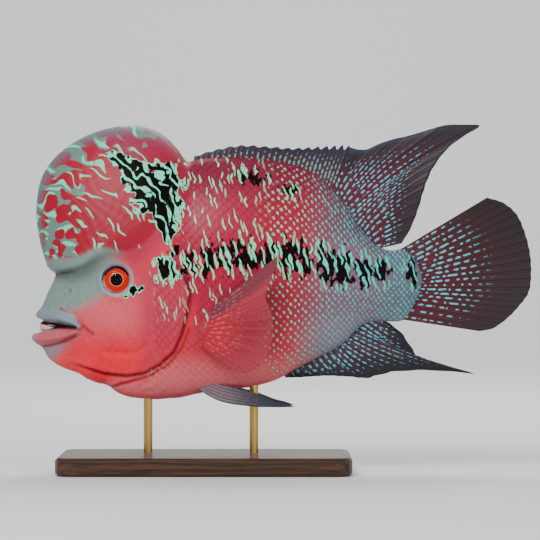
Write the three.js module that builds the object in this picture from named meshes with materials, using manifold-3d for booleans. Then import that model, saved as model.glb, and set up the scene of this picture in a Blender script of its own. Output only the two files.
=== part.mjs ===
// A life-size display model of an adult flowerhorn cichlid on a low stand.
// The fish swims towards -X, its left side faces -Y and +Z is up. The floor under the stand is z = 0.
// Each region that a person would name is a solid of its own, and touching solids keep a thin gap.
// All sizes are in millimetres.
import * as THREE from "three";
import { mergeVertices } from "three/addons/utils/BufferGeometryUtils.js";
import Module from "manifold-3d";

const wasm = await Module();
wasm.setup();

// Driving sizes. The fish measures 280 from the lower lip to the edge of the tail fin.
const GAP = 0.3;
const FRONT_X = -138;
const HUMP_HALF_WIDTH = 29.5;
const REACH = 70;

const BASE = { x: -44, length: 164, width: 92, height: 10, corner: 10, bevel: 1.5 };
const RODS = [
  { name: "stand_rod_front", x: -76 },
  { name: "stand_rod_rear", x: -16.5 },
];
const ROD_RADIUS = 2.5;

const EYE = { x: -93.5, z: 108, radius: 10.5, proud: 3.2 };
const NOSTRIL = { x: -119.5, z: 101.5, radius: 1.1, depth: 2.2 };

// Body stations from snout to tail root. Each runs from the ridge through the flank's mid line to the keel:
// ridge x, z, flank x, z, keel x, z.
const STATIONS = [
  [-138, 82.5, -138, 82.5, -138, 82.5],
  [-137.5, 86, -136.5, 82, -139.5, 78.5],
  [-137, 90.5, -131, 82.5, -140, 74.5],
  [-135, 94.5, -126.5, 84, -138, 71.5],
  [-133, 99.5, -123, 86, -135, 69],
  [-130.5, 104.5, -118.5, 88.5, -132.5, 64.5],
  [-129, 108, -114.5, 91.5, -128.5, 61],
  [-128.5, 111, -111, 94, -123, 58],
  [-131, 114, -107.5, 97, -116, 55.5],
  [-134, 119.5, -104, 100.5, -110, 52],
  [-137, 130, -101, 104, -105, 50],
  [-139, 145.5, -97.5, 107, -99, 48.5],
  [-136.5, 163.5, -93.5, 110.5, -93.5, 44.5],
  [-128.5, 176.5, -89, 113.5, -87, 42],
  [-114.5, 187, -84, 115.5, -79.5, 41],
  [-98.5, 193, -78.5, 116.5, -72, 40.5],
  [-83, 194.5, -72, 117.5, -65, 41],
  [-69.5, 190.5, -65.5, 116.5, -58, 41.5],
  [-60, 182, -58.5, 116, -51.5, 43],
  [-54, 174.5, -51.5, 115.5, -44, 44.5],
  [-47, 176, -43, 115, -36, 45.5],
  [-35.5, 177, -31.5, 114.5, -26.5, 46.5],
  [-21.5, 176.5, -18.5, 114, -16, 48],
  [-7.5, 175, -6, 113.5, -4, 51.5],
  [6.5, 172.5, 7, 113, 7, 57.5],
  [18, 167.5, 18.5, 112, 18.5, 63.5],
  [27.5, 159, 28, 111.5, 27.5, 68],
  [36, 149.5, 36.5, 110.5, 35.5, 73.5],
  [43.5, 137.5, 44.5, 109, 42, 80.5],
  [52, 127.5, 51.5, 107.5, 49, 84],
  [60.5, 124.5, 59.5, 106.5, 57, 84.5],
  [68, 125, 68, 106.5, 67, 85],
  [73.5, 120, 76, 107.5, 73, 92.5],
  [77, 113.5, 78, 107.5, 77, 102],
];
const FINE_STATIONS = 19;
const SECTION_STEPS = 16;

// Half width of head, trunk and tail stalk along the length: x, half width.
const HALF_WIDTH = [
  [-140, 7.5], [-134, 10.5], [-125.5, 14], [-114, 17.5], [-103, 20], [-93.5, 22], [-80.5, 25],
  [-66.5, 27], [-52.5, 27.5], [-35.5, 27], [-18.5, 25], [-2, 22], [15, 18.5], [32, 14.5], [49, 10.5],
  [65.5, 6.5], [72, 4.2], [78, 1.6],
];
// How wedge-like the section ends: 0.5 is round, larger is sharper. x, at the ridge, at the keel.
const SHARPNESS = [
  [-140, 0.5, 0.5], [-60, 0.5, 0.5], [-45, 0.62, 0.5], [0, 0.68, 0.55], [40, 0.66, 0.66], [80, 0.6, 0.6],
];
// Lower edge of the forehead hump: x, z, and half the height over which it blends into the face.
const HUMP_EDGE = [
  [-140, 110, 1.5], [-128.5, 111, 1.8], [-120, 112, 2.6], [-111.5, 113.5, 4], [-103, 118, 6.5],
  [-94.5, 121, 9], [-86, 123, 12], [-78, 127, 15], [-66, 140, 20], [-50, 165, 24],
];

// Lines in the side view that part the regions: x, z.
const HUMP_CUT = [
  [-146, 109.5], [-134, 110.2], [-128.5, 111], [-120, 112], [-111.5, 114], [-103, 118.5], [-94.5, 121.5],
  [-86, 123], [-78, 127], [-70.5, 135], [-63.5, 150], [-58, 165], [-54, 174.5], [-49, 184],
];
const GILL_CUT = [
  [-50, 178], [-58, 160], [-62, 144], [-63.5, 130], [-62, 120], [-57.5, 112], [-54, 105.5], [-52.5, 98.5],
  [-54, 92], [-55.5, 85], [-56.5, 77.5], [-58, 70], [-62.5, 63.5], [-69.5, 59], [-76.5, 55.3],
  [-84.5, 53], [-91, 50.5], [-97, 47.5], [-100, 40],
];
const JAW_CUT = [[-113, 84], [-116.5, 80], [-117.5, 74], [-116.5, 65.5], [-114.5, 60], [-115.5, 48]];
const STALK_CUT = [[51, 136], [48.5, 118], [47.5, 107], [48, 94], [50, 76]];
const GILL_COVER = [
  [-65.5, 118.5], [-60, 112.5], [-57, 106.5], [-56, 98.5], [-57.3, 92], [-58.8, 85], [-59.8, 78],
  [-61.3, 71.5], [-65, 66.5], [-71, 62], [-77.5, 58.6], [-85, 57], [-92, 58.5], [-90, 64.5], [-82, 67],
  [-77.5, 71.5], [-75.5, 82], [-75.8, 92], [-75, 102], [-72, 111],
];
const GILL_COVER_DEPTH = 0.13;
const GILL_COVER_RISE = 0.8;
const MOUTH_GAP = [
  [-150, 86.4], [-137, 86], [-128, 85.4], [-119, 83.2],
  [-113.5, 81.3], [-119, 80], [-128, 78.8], [-150, 78.4],
];
const MOUTH_FLOOR = { x: -126, z: 79.6, halfLength: 9.6, halfWidth: 7.6, halfHeight: 4.4 };

// Lips as tubes bent round the jaw in plan: front x, corner x, corner y, then the share of the way round
// from the front to the corner, z and radius.
const UPPER_LIP = {
  front: -134.3, corner: -114.5, side: 15,
  course: [[0, 88.6, 2.8], [0.45, 87.9, 3], [0.7, 86, 2.8], [0.88, 83.6, 2], [1, 82.2, 1.2]],
};
const LOWER_LIP = {
  front: -137, corner: -114.5, side: 15,
  course: [[0, 75.7, 3.2], [0.45, 75.6, 3.3], [0.7, 76.8, 2.9], [0.88, 78.4, 2.1], [1, 79.6, 1.2]],
};

// Spline through rows of numbers whose first column is the parameter, with slopes from the neighbours.
function follow(rows, t) {
  let i = 0;
  while (i < rows.length - 2 && t > rows[i + 1][0]) i++;
  const slope = (k, c) => {
    const a = rows[Math.max(k - 1, 0)];
    const b = rows[Math.min(k + 1, rows.length - 1)];
    return (b[c] - a[c]) / (b[0] - a[0]);
  };
  const [p, q] = [rows[i], rows[i + 1]];
  const span = q[0] - p[0];
  const s = Math.min(Math.max((t - p[0]) / span, 0), 1);
  const value = (c) =>
    p[c] * (1 + 2 * s) * (1 - s) ** 2 +
    q[c] * s * s * (3 - 2 * s) +
    span * (slope(i, c) * s * (1 - s) ** 2 - slope(i + 1, c) * s * s * (1 - s));
  return p.slice(1).map((_, c) => value(c + 1));
}

function blend(edge0, edge1, x) {
  const s = Math.min(Math.max((x - edge0) / (edge1 - edge0), 0), 1);
  return s * s * (3 - 2 * s);
}

// A closed solid from points and triangles, turned so that its faces point outwards.
function solid(points, triangles) {
  const build = (faces) => {
    const geometry = new THREE.BufferGeometry();
    geometry.setAttribute("position", new THREE.Float32BufferAttribute(points.flat(), 3));
    geometry.setIndex(faces.flat());
    return solidOf(geometry);
  };
  const made = build(triangles);
  return made.volume() < 0 ? build(triangles.map(([a, b, c]) => [a, c, b])) : made;
}

function solidOf(geometry) {
  const bare = geometry.index ? geometry.toNonIndexed() : geometry.clone();
  bare.deleteAttribute("normal");
  bare.deleteAttribute("uv");
  const merged = mergeVertices(bare, 1e-3);
  return new wasm.Manifold(
    new wasm.Mesh({
      numProp: 3,
      vertProperties: new Float32Array(merged.attributes.position.array),
      triVerts: new Uint32Array(merged.index.array),
    }),
  );
}

// The largest closed surface of a solid, which drops loose scraps.
function largest(made) {
  return made.decompose().sort((a, b) => b.volume() - a.volume())[0];
}

// A flat outline in the side view, carried across the whole width of the fish.
function slab(outline, low = -REACH, high = REACH) {
  const shape = new THREE.Shape(outline.map(([x, z]) => new THREE.Vector2(x, z)));
  const geometry = new THREE.ExtrudeGeometry(shape, { depth: high - low, bevelEnabled: false });
  // Shape x, y, depth become x, z, -y.
  geometry.rotateX(Math.PI / 2);
  geometry.translate(0, high, 0);
  return solidOf(geometry);
}

// A thin wall that follows a line in the side view.
function parting(line) {
  const offset = (side) =>
    line.map(([x, z], i) => {
      const a = line[Math.max(i - 1, 0)];
      const b = line[Math.min(i + 1, line.length - 1)];
      const length = Math.hypot(b[0] - a[0], b[1] - a[1]);
      const reach = (side * GAP) / 2 / length;
      return [x - (b[1] - a[1]) * reach, z + (b[0] - a[0]) * reach];
    });
  return slab([...offset(1), ...offset(-1).reverse()]);
}

// Splits a solid by a parting wall into the pieces that hold the most, ordered by a measure of their box.
function split(made, line, measure) {
  const pieces = made.subtract(parting(line)).decompose().sort((a, b) => b.volume() - a.volume());
  return pieces.slice(0, 2).sort((a, b) => measure(a.boundingBox()) - measure(b.boundingBox()));
}

// Body surface

function station(s) {
  const rows = STATIONS.map((row, i) => [i, ...row]);
  return follow(rows, s);
}

// Point on the left flank: s counts stations from the snout, p runs from ridge 0 to keel 1.
// The section line is a quadratic curve through the flank's mid point, and the half width follows a power
// of a sine.
function flank(s, p) {
  const [tx, tz, mx, mz, bx, bz] = station(s);
  const cx = 2 * mx - (tx + bx) / 2;
  const cz = 2 * mz - (tz + bz) / 2;
  const x = (1 - p) ** 2 * tx + 2 * p * (1 - p) * cx + p * p * bx;
  const z = (1 - p) ** 2 * tz + 2 * p * (1 - p) * cz + p * p * bz;
  const [face] = follow(HALF_WIDTH, x);
  const [edge, soft] = follow(HUMP_EDGE, Math.min(x, HUMP_EDGE.at(-1)[0]));
  const rear = 1 - blend(-72, -50, x);
  const hump = blend(edge - soft, edge + soft, z) * rear;
  const [ridgeSharp, keelSharp] = follow(SHARPNESS, x);
  const sharp = ridgeSharp + (keelSharp - ridgeSharp) * p;
  const nose = Math.sqrt(1 - (1 - Math.min(s / 3, 1)) ** 2);
  const half = (face + (HUMP_HALF_WIDTH - face) * hump) * Math.sin(Math.PI * p) ** sharp * nose;
  return [x, half, z];
}

// The closed body. Grow moves it out along its normals and widthScale squeezes it sideways.
function bodySolid(grow = 0, widthScale = 1) {
  // Half stations in the head and whole ones behind it.
  const last = FINE_STATIONS + STATIONS.length - 1;
  const around = 2 * SECTION_STEPS;
  const points = [[FRONT_X, 0, STATIONS[0][1]]];
  for (let i = 1; i <= last; i++) {
    for (let j = 0; j < around; j++) {
      const k = j <= SECTION_STEPS ? j : around - j;
      const p = (1 - Math.cos((Math.PI * k) / SECTION_STEPS)) / 2;
      const [x, half, z] = flank(i < 2 * FINE_STATIONS ? i / 2 : i - FINE_STATIONS, p);
      const side = j === 0 || j === SECTION_STEPS ? 0 : j < SECTION_STEPS ? -1 : 1;
      points.push([x, side * half * widthScale, z]);
    }
  }
  const end = points.slice(-around);
  points.push([0, 1, 2].map((c) => end.reduce((sum, q) => sum + q[c], 0) / around));
  const at = (i, j) => 1 + (i - 1) * around + (j % around);
  const triangles = [];
  for (let j = 0; j < around; j++) {
    triangles.push([0, at(1, j + 1), at(1, j)]);
    for (let i = 1; i < last; i++) {
      triangles.push([at(i, j), at(i + 1, j + 1), at(i + 1, j)]);
      triangles.push([at(i, j), at(i, j + 1), at(i + 1, j + 1)]);
    }
    triangles.push([at(last, j), at(last, j + 1), points.length - 1]);
  }
  return solid(grow ? grown(points, triangles, grow) : points, triangles);
}

// Moves points out along the mean normal of their triangles.
function grown(points, triangles, distance) {
  const geometry = new THREE.BufferGeometry();
  geometry.setAttribute("position", new THREE.Float32BufferAttribute(points.flat(), 3));
  geometry.setIndex(triangles.flat());
  geometry.computeVertexNormals();
  const n = geometry.attributes.normal;
  return points.map(([x, y, z], i) => [
    x + n.getX(i) * distance,
    y + n.getY(i) * distance,
    z + n.getZ(i) * distance,
  ]);
}

const body = bodySolid();
const bodyClear = bodySolid(GAP);
const bodyRaised = bodySolid(GILL_COVER_RISE);

// Eyes

function ball(radii, centre, across = 18, up = 11) {
  const geometry = new THREE.SphereGeometry(1, across, up);
  geometry.scale(...radii);
  geometry.translate(...centre);
  return solidOf(geometry);
}

// Half width of the body at a place in the side view, found from a coarse search of the flank.
function widthAt(x, z) {
  let best = [Infinity, 0];
  for (let s = 0.5; s < STATIONS.length - 1; s += 0.25) {
    for (let p = 0.02; p < 1; p += 0.02) {
      const [fx, half, fz] = flank(s, p);
      const miss = Math.hypot(fx - x, fz - z);
      if (miss < best[0]) best = [miss, half];
    }
  }
  return best[1];
}

const eyeDepth = widthAt(EYE.x, EYE.z) + EYE.proud - EYE.radius;
const eyeBall = (side, extra) =>
  ball([EYE.radius + extra, EYE.radius + extra, EYE.radius + extra], [EYE.x, side * eyeDepth, EYE.z]);

// Lips

// A tube round the jaw in plan, as a half ellipse from the right corner through the front to the left corner.
function lipSolid(lip, extra) {
  const steps = 22;
  const sides = 9;
  const points = [];
  const centreAt = (t) => {
    const turn = (t * Math.PI) / 2;
    const [z] = follow(lip.course, Math.abs(t));
    return new THREE.Vector3(
      lip.corner - (lip.corner - lip.front) * Math.cos(turn),
      lip.side * Math.sin(turn),
      z,
    );
  };
  for (let i = 0; i <= steps; i++) {
    const t = (2 * i) / steps - 1;
    const centre = centreAt(t);
    const along = centreAt(t + 0.01).sub(centreAt(t - 0.01)).normalize();
    const up = new THREE.Vector3(0, 0, 1).addScaledVector(along, -along.z).normalize();
    const out = new THREE.Vector3().crossVectors(along, up);
    const radius = follow(lip.course, Math.abs(t))[1] + extra;
    for (let j = 0; j < sides; j++) {
      const a = (2 * Math.PI * j) / sides;
      points.push(
        centre
          .clone()
          .addScaledVector(out, radius * Math.cos(a))
          .addScaledVector(up, radius * Math.sin(a))
          .toArray(),
      );
    }
  }
  const tips = [-1, 1].map((t) => centreAt(t));
  for (const tip of tips) {
    tip.x += 0.8 + extra;
    points.push(tip.toArray());
  }
  const at = (i, j) => i * sides + (j % sides);
  const [head, tail] = [points.length - 2, points.length - 1];
  const triangles = [];
  for (let j = 0; j < sides; j++) {
    triangles.push([head, at(0, j + 1), at(0, j)]);
    for (let i = 0; i < steps; i++) {
      triangles.push([at(i, j), at(i, j + 1), at(i + 1, j + 1)]);
      triangles.push([at(i, j), at(i + 1, j + 1), at(i + 1, j)]);
    }
    triangles.push([tail, at(steps, j), at(steps, j + 1)]);
  }
  return solid(points, triangles);
}

const upperLip = lipSolid(UPPER_LIP, 0);
const lowerLip = lipSolid(LOWER_LIP, 0);
const mouthGap = slab(MOUTH_GAP);

// Regions of flesh

const highest = (box) => -box.max[2];
const foremost = (box) => box.min[0];
const [hump, belowHump] = split(body, HUMP_CUT, highest);
const [headWhole, trunkWhole] = split(belowHump, GILL_CUT, foremost);
const [trunk, tailStalk] = split(trunkWhole, STALK_CUT, foremost);

// The gill covers are plates let into the sides of the head and stand a little proud of it.
const [, raisedBelowHump] = split(bodyRaised, HUMP_CUT, highest);
const [raisedHead] = split(raisedBelowHump, GILL_CUT, foremost);
const coverBed = GILL_COVER.map(([x, z], i) => {
  const a = GILL_COVER.at(i - 1);
  const b = GILL_COVER[(i + 1) % GILL_COVER.length];
  const reach = (1.15 * GAP) / Math.hypot(b[0] - a[0], b[1] - a[1]);
  return [x - (b[1] - a[1]) * reach, z + (b[0] - a[0]) * reach];
});
const coverDepth = 1 - GILL_COVER_DEPTH;
const coverCore = bodySolid(0, coverDepth);
const bedCore = bodySolid(0, coverDepth - 0.013);
const coverSide = (side) =>
  largest(
    raisedHead
      .intersect(slab(GILL_COVER, side < 0 ? -REACH : 1, side < 0 ? -1 : REACH))
      .subtract(coverCore),
  );

const socket = [-1, 1].map((side) => eyeBall(side, GAP));
const nostrilPits = [-1, 1].map((side) => {
  const wall = widthAt(NOSTRIL.x, NOSTRIL.z);
  return ball([NOSTRIL.radius, NOSTRIL.depth, NOSTRIL.radius], [NOSTRIL.x, side * wall, NOSTRIL.z], 8, 6);
});
const carvedHead = [
  slab(coverBed).subtract(bedCore),
  ...socket,
  ...nostrilPits,
  mouthGap,
  lipSolid(UPPER_LIP, GAP),
  lipSolid(LOWER_LIP, GAP),
].reduce((left, cutter) => left.subtract(cutter), headWhole);
const [lowerJaw, head] = split(carvedHead, JAW_CUT, foremost);

const mouthFloor = largest(
  ball(
    [MOUTH_FLOOR.halfLength, MOUTH_FLOOR.halfWidth, MOUTH_FLOOR.halfHeight],
    [MOUTH_FLOOR.x, 0, MOUTH_FLOOR.z],
    16,
    8,
  )
    .intersect(slab(MOUTH_GAP.map(([x, z]) => [x, z > 81.3 ? z - 1.2 : z + GAP])))
    .subtract(lipSolid(UPPER_LIP, GAP))
    .subtract(lipSolid(LOWER_LIP, GAP)),
);

// Fins

// A fin is a fan of rays joined by a membrane. Its root line and its margin are splines over the share r of
// the way from the first ray to the last, and q runs along each ray. Rays stand up as ridges on both faces.
function finSolid(fin) {
  const columns = 2 * (fin.rays - 1);
  const step = 1e-3;
  const pointAt = (r, q) => new THREE.Vector3(...fin.at(r, q));
  const normalAt = (r, q) => {
    const alongRay = pointAt(r, Math.min(q + step, 1)).sub(pointAt(r, Math.max(q - step, 0)));
    const acrossRays = pointAt(Math.min(r + step, 1), q).sub(pointAt(Math.max(r - step, 0), q));
    return new THREE.Vector3().crossVectors(alongRay, acrossRays).normalize();
  };
  const points = [];
  for (const face of [1, -1]) {
    for (let i = 0; i <= columns; i++) {
      const r = i / columns;
      const isRay = i % 2 === 0;
      for (let j = 0; j <= fin.rows; j++) {
        const share = j / fin.rows;
        const q = share * (isRay ? 1 : 1 - fin.notch);
        const [atRoot, atEdge] = isRay ? fin.ray : fin.web;
        const half = atRoot + (atEdge - atRoot) * share;
        const out = normalAt(r, Math.min(Math.max(q, 0.02), 0.98));
        points.push(pointAt(r, q).addScaledVector(out, face * half).toArray());
      }
    }
  }
  const rows = fin.rows + 1;
  const at = (face, i, j) => face * (columns + 1) * rows + i * rows + j;
  const triangles = [];
  for (let i = 0; i < columns; i++) {
    for (let j = 0; j < fin.rows; j++) {
      const corners = [[i, j], [i, j + 1], [i + 1, j + 1], [i + 1, j]];
      const [a, b, c, d] = corners.map(([m, n]) => at(0, m, n));
      const [e, f, g, h] = corners.map(([m, n]) => at(1, m, n));
      triangles.push([a, b, c], [a, c, d], [e, g, f], [e, h, g]);
    }
    for (const [j, turn] of [[0, false], [fin.rows, true]]) {
      const [a, b, c, d] = [at(0, i, j), at(0, i + 1, j), at(1, i + 1, j), at(1, i, j)];
      triangles.push(...(turn ? [[a, d, c], [a, c, b]] : [[a, b, c], [a, c, d]]));
    }
  }
  for (let j = 0; j < fin.rows; j++) {
    for (const [i, turn] of [[0, true], [columns, false]]) {
      const [a, b, c, d] = [at(0, i, j), at(0, i, j + 1), at(1, i, j + 1), at(1, i, j)];
      triangles.push(...(turn ? [[a, d, c], [a, c, b]] : [[a, b, c], [a, c, d]]));
    }
  }
  return largest(solid(points, triangles).subtract(bodyClear));
}

// Place on a fin that stands in the fish's middle plane. Arch lifts the rays between root and tip, and sway
// moves the free edge sideways in a slow wave.
function uprightFin(root, margin, arch, sway) {
  return (r, q) => {
    const [rx, rz] = follow(root, r);
    const [mx, mz] = follow(margin, r);
    const bow = arch * 4 * r * (1 - r) * 4 * q * (1 - q);
    const side = sway.amount * q * q * Math.sin(2 * Math.PI * (sway.waves * r + sway.start));
    const length = Math.hypot(mx - rx, mz - rz);
    return [
      rx + (mx - rx) * q - ((mz - rz) / length) * bow,
      side,
      rz + (mz - rz) * q + ((mx - rx) / length) * bow,
    ];
  };
}

// Spiny front part of the back fin: low, its spines leaning back.
const SPINY_DORSAL = {
  rays: 16, rows: 4, ray: [1, 0.5], web: [0.5, 0.35], notch: 0.16,
  at: uprightFin(
    [
      [0, -51, 171], [0.1, -42, 172.8], [0.25, -27, 173.5], [0.4, -13, 172.5], [0.55, 0.5, 170.5],
      [0.7, 11, 167.5], [0.85, 20, 161.5], [1, 26.5, 155],
    ],
    [
      [0, -50, 177.3], [0.1, -40, 180.5], [0.25, -25, 183.5], [0.4, -10, 183], [0.55, 4.5, 182],
      [0.7, 17, 182.5], [0.85, 28, 183.3], [1, 37.5, 183.8],
    ],
    1.2,
    { amount: 0.8, waves: 1.2, start: 0.1 },
  ),
};
// Soft rear part of the back fin: long rays swept back to a point.
const SOFT_DORSAL = {
  rays: 13, rows: 10, ray: [0.9, 0.42], web: [0.5, 0.3], notch: 0.01,
  at: uprightFin(
    [[0, 26.95, 154.8], [0.35, 34, 145], [0.7, 42.5, 133], [1, 50.5, 124.5]],
    [
      [0, 37.4, 181.6], [0.08, 46, 181.2], [0.16, 58, 186], [0.24, 74, 190], [0.31, 92, 195],
      [0.38, 110.5, 194.8], [0.46, 103, 189.5], [0.55, 93, 182], [0.64, 84.5, 171], [0.74, 79.5, 159.5],
      [0.84, 76, 148], [0.93, 71.5, 136.5], [1, 66.5, 128.3],
    ],
    4,
    { amount: 3.2, waves: 0.8, start: 0.05 },
  ),
};
// Fan of the tail.
const TAIL_FAN = {
  rays: 16, rows: 9, ray: [1, 0.42], web: [0.6, 0.3], notch: 0.012,
  at: uprightFin(
    [
      [0, 64, 123.8], [0.15, 69.5, 118], [0.35, 72.5, 112], [0.5, 73.5, 107.5], [0.65, 72.5, 103],
      [0.85, 69.5, 96], [1, 63, 86],
    ],
    [
      [0, 114.5, 154], [0.1, 123.5, 151.2], [0.2, 130.8, 145.5], [0.3, 135.4, 136.8], [0.42, 139, 124.5],
      [0.54, 140, 112.5], [0.66, 138.6, 101], [0.78, 132.5, 92.5], [0.88, 126, 86], [0.95, 118, 80.5],
      [1, 110.5, 79],
    ],
    0,
    { amount: 5, waves: 0.7, start: -0.12 },
  ),
};
// Anal fin: spines first, then soft rays drawn out to a thread.
const ANAL_FIN = {
  rays: 15, rows: 8, ray: [0.9, 0.4], web: [0.5, 0.3], notch: 0.03,
  at: uprightFin(
    [[0, 0, 55], [0.2, 10.5, 61.5], [0.4, 21, 67.5], [0.6, 32, 74], [0.8, 41, 83], [1, 50.5, 87.5]],
    [
      [0, 1.5, 52.8], [0.12, 10.5, 53], [0.26, 24, 53.8], [0.4, 38, 53.3], [0.5, 48, 52.6], [0.58, 62, 56],
      [0.66, 84, 56.8], [0.73, 107.5, 55], [0.79, 88, 58.6], [0.84, 77.5, 63.5], [0.89, 72.5, 69.5],
      [0.94, 67.5, 77], [1, 59.5, 83.6],
    ],
    -2.4,
    { amount: 2.4, waves: 0.9, start: 0.3 },
  ),
};

// Paired breast fins: a fan that stands off the flank and sweeps back. Root and margin are given in the
// side view, and the fan leaves the flank by an angle.
const BREAST_FIN = {
  rays: 13, rows: 8, ray: [0.8, 0.4], web: [0.45, 0.3], notch: 0.012,
  root: [[0, -46.5, 87], [0.5, -44.5, 79.5], [1, -45.5, 71.5]],
  margin: [
    [0, -3.2, 121], [0.08, -3.6, 116], [0.18, -8, 105.5], [0.28, -9.5, 98], [0.4, -6.3, 89],
    [0.55, -5.6, 77.5], [0.7, -10, 64.5], [0.82, -19.5, 57], [0.92, -29.5, 58.5], [1, -39, 65],
  ],
  spread: Math.tan((24 * Math.PI) / 180),
};
function breastFin(side) {
  const rootDepth = widthAt(-45, 79.5) - 2.4;
  const at = (r, q) => {
    const [rx, rz] = follow(BREAST_FIN.root, r);
    const [mx, mz] = follow(BREAST_FIN.margin, r);
    const away = Math.hypot(mx - rx, mz - rz) * q;
    const ripple = 1.1 * q * q * Math.sin(2 * Math.PI * 1.6 * r);
    const lobe = 2.2 * (2 * r - 1) ** 2 * (1 - q);
    const depth = rootDepth + BREAST_FIN.spread * away * (1 - 0.25 * q) + ripple - lobe;
    return [rx + (mx - rx) * q, side * depth, rz + (mz - rz) * q];
  };
  return finSolid({ ...BREAST_FIN, at });
}

// Paired belly fins, folded back under the belly: inner edge and outer edge as points, y from the middle.
const BELLY_FIN = {
  rays: 6, rows: 8, ray: [0.85, 0.42], web: [0.5, 0.32], notch: 0.02,
  outer: [
    [0, -51.5, 5.5, 49], [0.3, -36, 12.5, 40.5], [0.6, -18.5, 15.2, 37.6], [0.85, -3, 13.8, 36.9],
    [1, 6.5, 12, 37],
  ],
  inner: [
    [0, -42, 6, 50.5], [0.3, -29, 9.5, 47.5], [0.6, -15, 10.8, 44], [0.85, -5, 11.6, 40.2],
    [1, 1.5, 11.4, 38.6],
  ],
};
function bellyFin(side) {
  const at = (r, q) => {
    const a = follow(BELLY_FIN.outer, q);
    const b = follow(BELLY_FIN.inner, q);
    return a.map((v, c) => (v + (b[c] - v) * r) * (c === 1 ? side : 1));
  };
  return finSolid({ ...BELLY_FIN, at });
}

// Stand: a low plinth and two rods up to the belly

function plinth() {
  const [w, d, c] = [BASE.length / 2 - BASE.bevel, BASE.width / 2 - BASE.bevel, BASE.corner];
  const shape = new THREE.Shape();
  shape.moveTo(-w + c, -d);
  shape.lineTo(w - c, -d).quadraticCurveTo(w, -d, w, -d + c);
  shape.lineTo(w, d - c).quadraticCurveTo(w, d, w - c, d);
  shape.lineTo(-w + c, d).quadraticCurveTo(-w, d, -w, d - c);
  shape.lineTo(-w, -d + c).quadraticCurveTo(-w, -d, -w + c, -d);
  const geometry = new THREE.ExtrudeGeometry(shape, {
    depth: BASE.height - 2 * BASE.bevel,
    bevelThickness: BASE.bevel,
    bevelSize: BASE.bevel,
    bevelSegments: 1,
    curveSegments: 5,
  });
  geometry.translate(BASE.x, 0, BASE.bevel);
  return solidOf(geometry);
}

function rod(x) {
  const top = 60;
  const foot = BASE.height + GAP;
  const geometry = new THREE.CylinderGeometry(ROD_RADIUS, ROD_RADIUS, top - foot, 16);
  geometry.rotateX(Math.PI / 2);
  geometry.translate(x, 0, (top + foot) / 2);
  return largest(solidOf(geometry).subtract(bodyClear));
}

// Materials

const skin = (color, roughness = 0.4) => new THREE.MeshStandardMaterial({ color, roughness, metalness: 0 });
const RED_SKIN = skin(0xc23a47);
const HUMP_SKIN = skin(0xa8434c);
const FACE_SKIN = skin(0xd5606a);
const COVER_SKIN = skin(0xdb4f5a);
const STALK_SKIN = skin(0x6f8f95);
const LIP_SKIN = skin(0x9b8a95);
const MOUTH_SKIN = skin(0xd9a9ab, 0.3);
const FIN_SKIN = skin(0x59303a, 0.45);
const BREAST_FIN_SKIN = skin(0xb5525c, 0.4);
const BELLY_FIN_SKIN = skin(0x64666e, 0.45);
const EYE_RED = skin(0xe2261a, 0.12);
const PLINTH_WOOD = skin(0x2f2a28, 0.5);
const ROD_BRASS = new THREE.MeshStandardMaterial({ color: 0xb08d4a, roughness: 0.3, metalness: 1 });

function node(name, made, material) {
  const mesh = made.getMesh();
  const geometry = new THREE.BufferGeometry();
  geometry.setAttribute("position", new THREE.BufferAttribute(new Float32Array(mesh.vertProperties), 3));
  geometry.setIndex(new THREE.BufferAttribute(new Uint32Array(mesh.triVerts), 1));
  geometry.computeVertexNormals();
  const part = new THREE.Mesh(geometry, material);
  part.name = name;
  return part;
}

// Assembly

const fish = new THREE.Group();
fish.add(
  node("nuchal_hump", hump, HUMP_SKIN),
  node("head", head, FACE_SKIN),
  node("lower_jaw", lowerJaw, FACE_SKIN),
  node("upper_lip", upperLip, LIP_SKIN),
  node("lower_lip", lowerLip, LIP_SKIN),
  node("mouth_floor", mouthFloor, MOUTH_SKIN),
  node("gill_cover_left", coverSide(-1), COVER_SKIN),
  node("gill_cover_right", coverSide(1), COVER_SKIN),
  node("eye_left", eyeBall(-1, 0), EYE_RED),
  node("eye_right", eyeBall(1, 0), EYE_RED),
  node("trunk", trunk, RED_SKIN),
  node("tail_stalk", tailStalk, STALK_SKIN),
  node("dorsal_fin_spiny", finSolid(SPINY_DORSAL), FIN_SKIN),
  node("dorsal_fin_soft", finSolid(SOFT_DORSAL), FIN_SKIN),
  node("tail_fin", finSolid(TAIL_FAN), FIN_SKIN),
  node("anal_fin", finSolid(ANAL_FIN), FIN_SKIN),
  node("pectoral_fin_left", breastFin(-1), BREAST_FIN_SKIN),
  node("pectoral_fin_right", breastFin(1), BREAST_FIN_SKIN),
  node("pelvic_fin_left", bellyFin(-1), BELLY_FIN_SKIN),
  node("pelvic_fin_right", bellyFin(1), BELLY_FIN_SKIN),
);

const stand = new THREE.Group();
stand.add(node("stand_base", plinth(), PLINTH_WOOD));
for (const { name, x } of RODS) stand.add(node(name, rod(x), ROD_BRASS));

const model = new THREE.Group();
model.add(fish, stand);

export default model;
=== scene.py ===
import math

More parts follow.
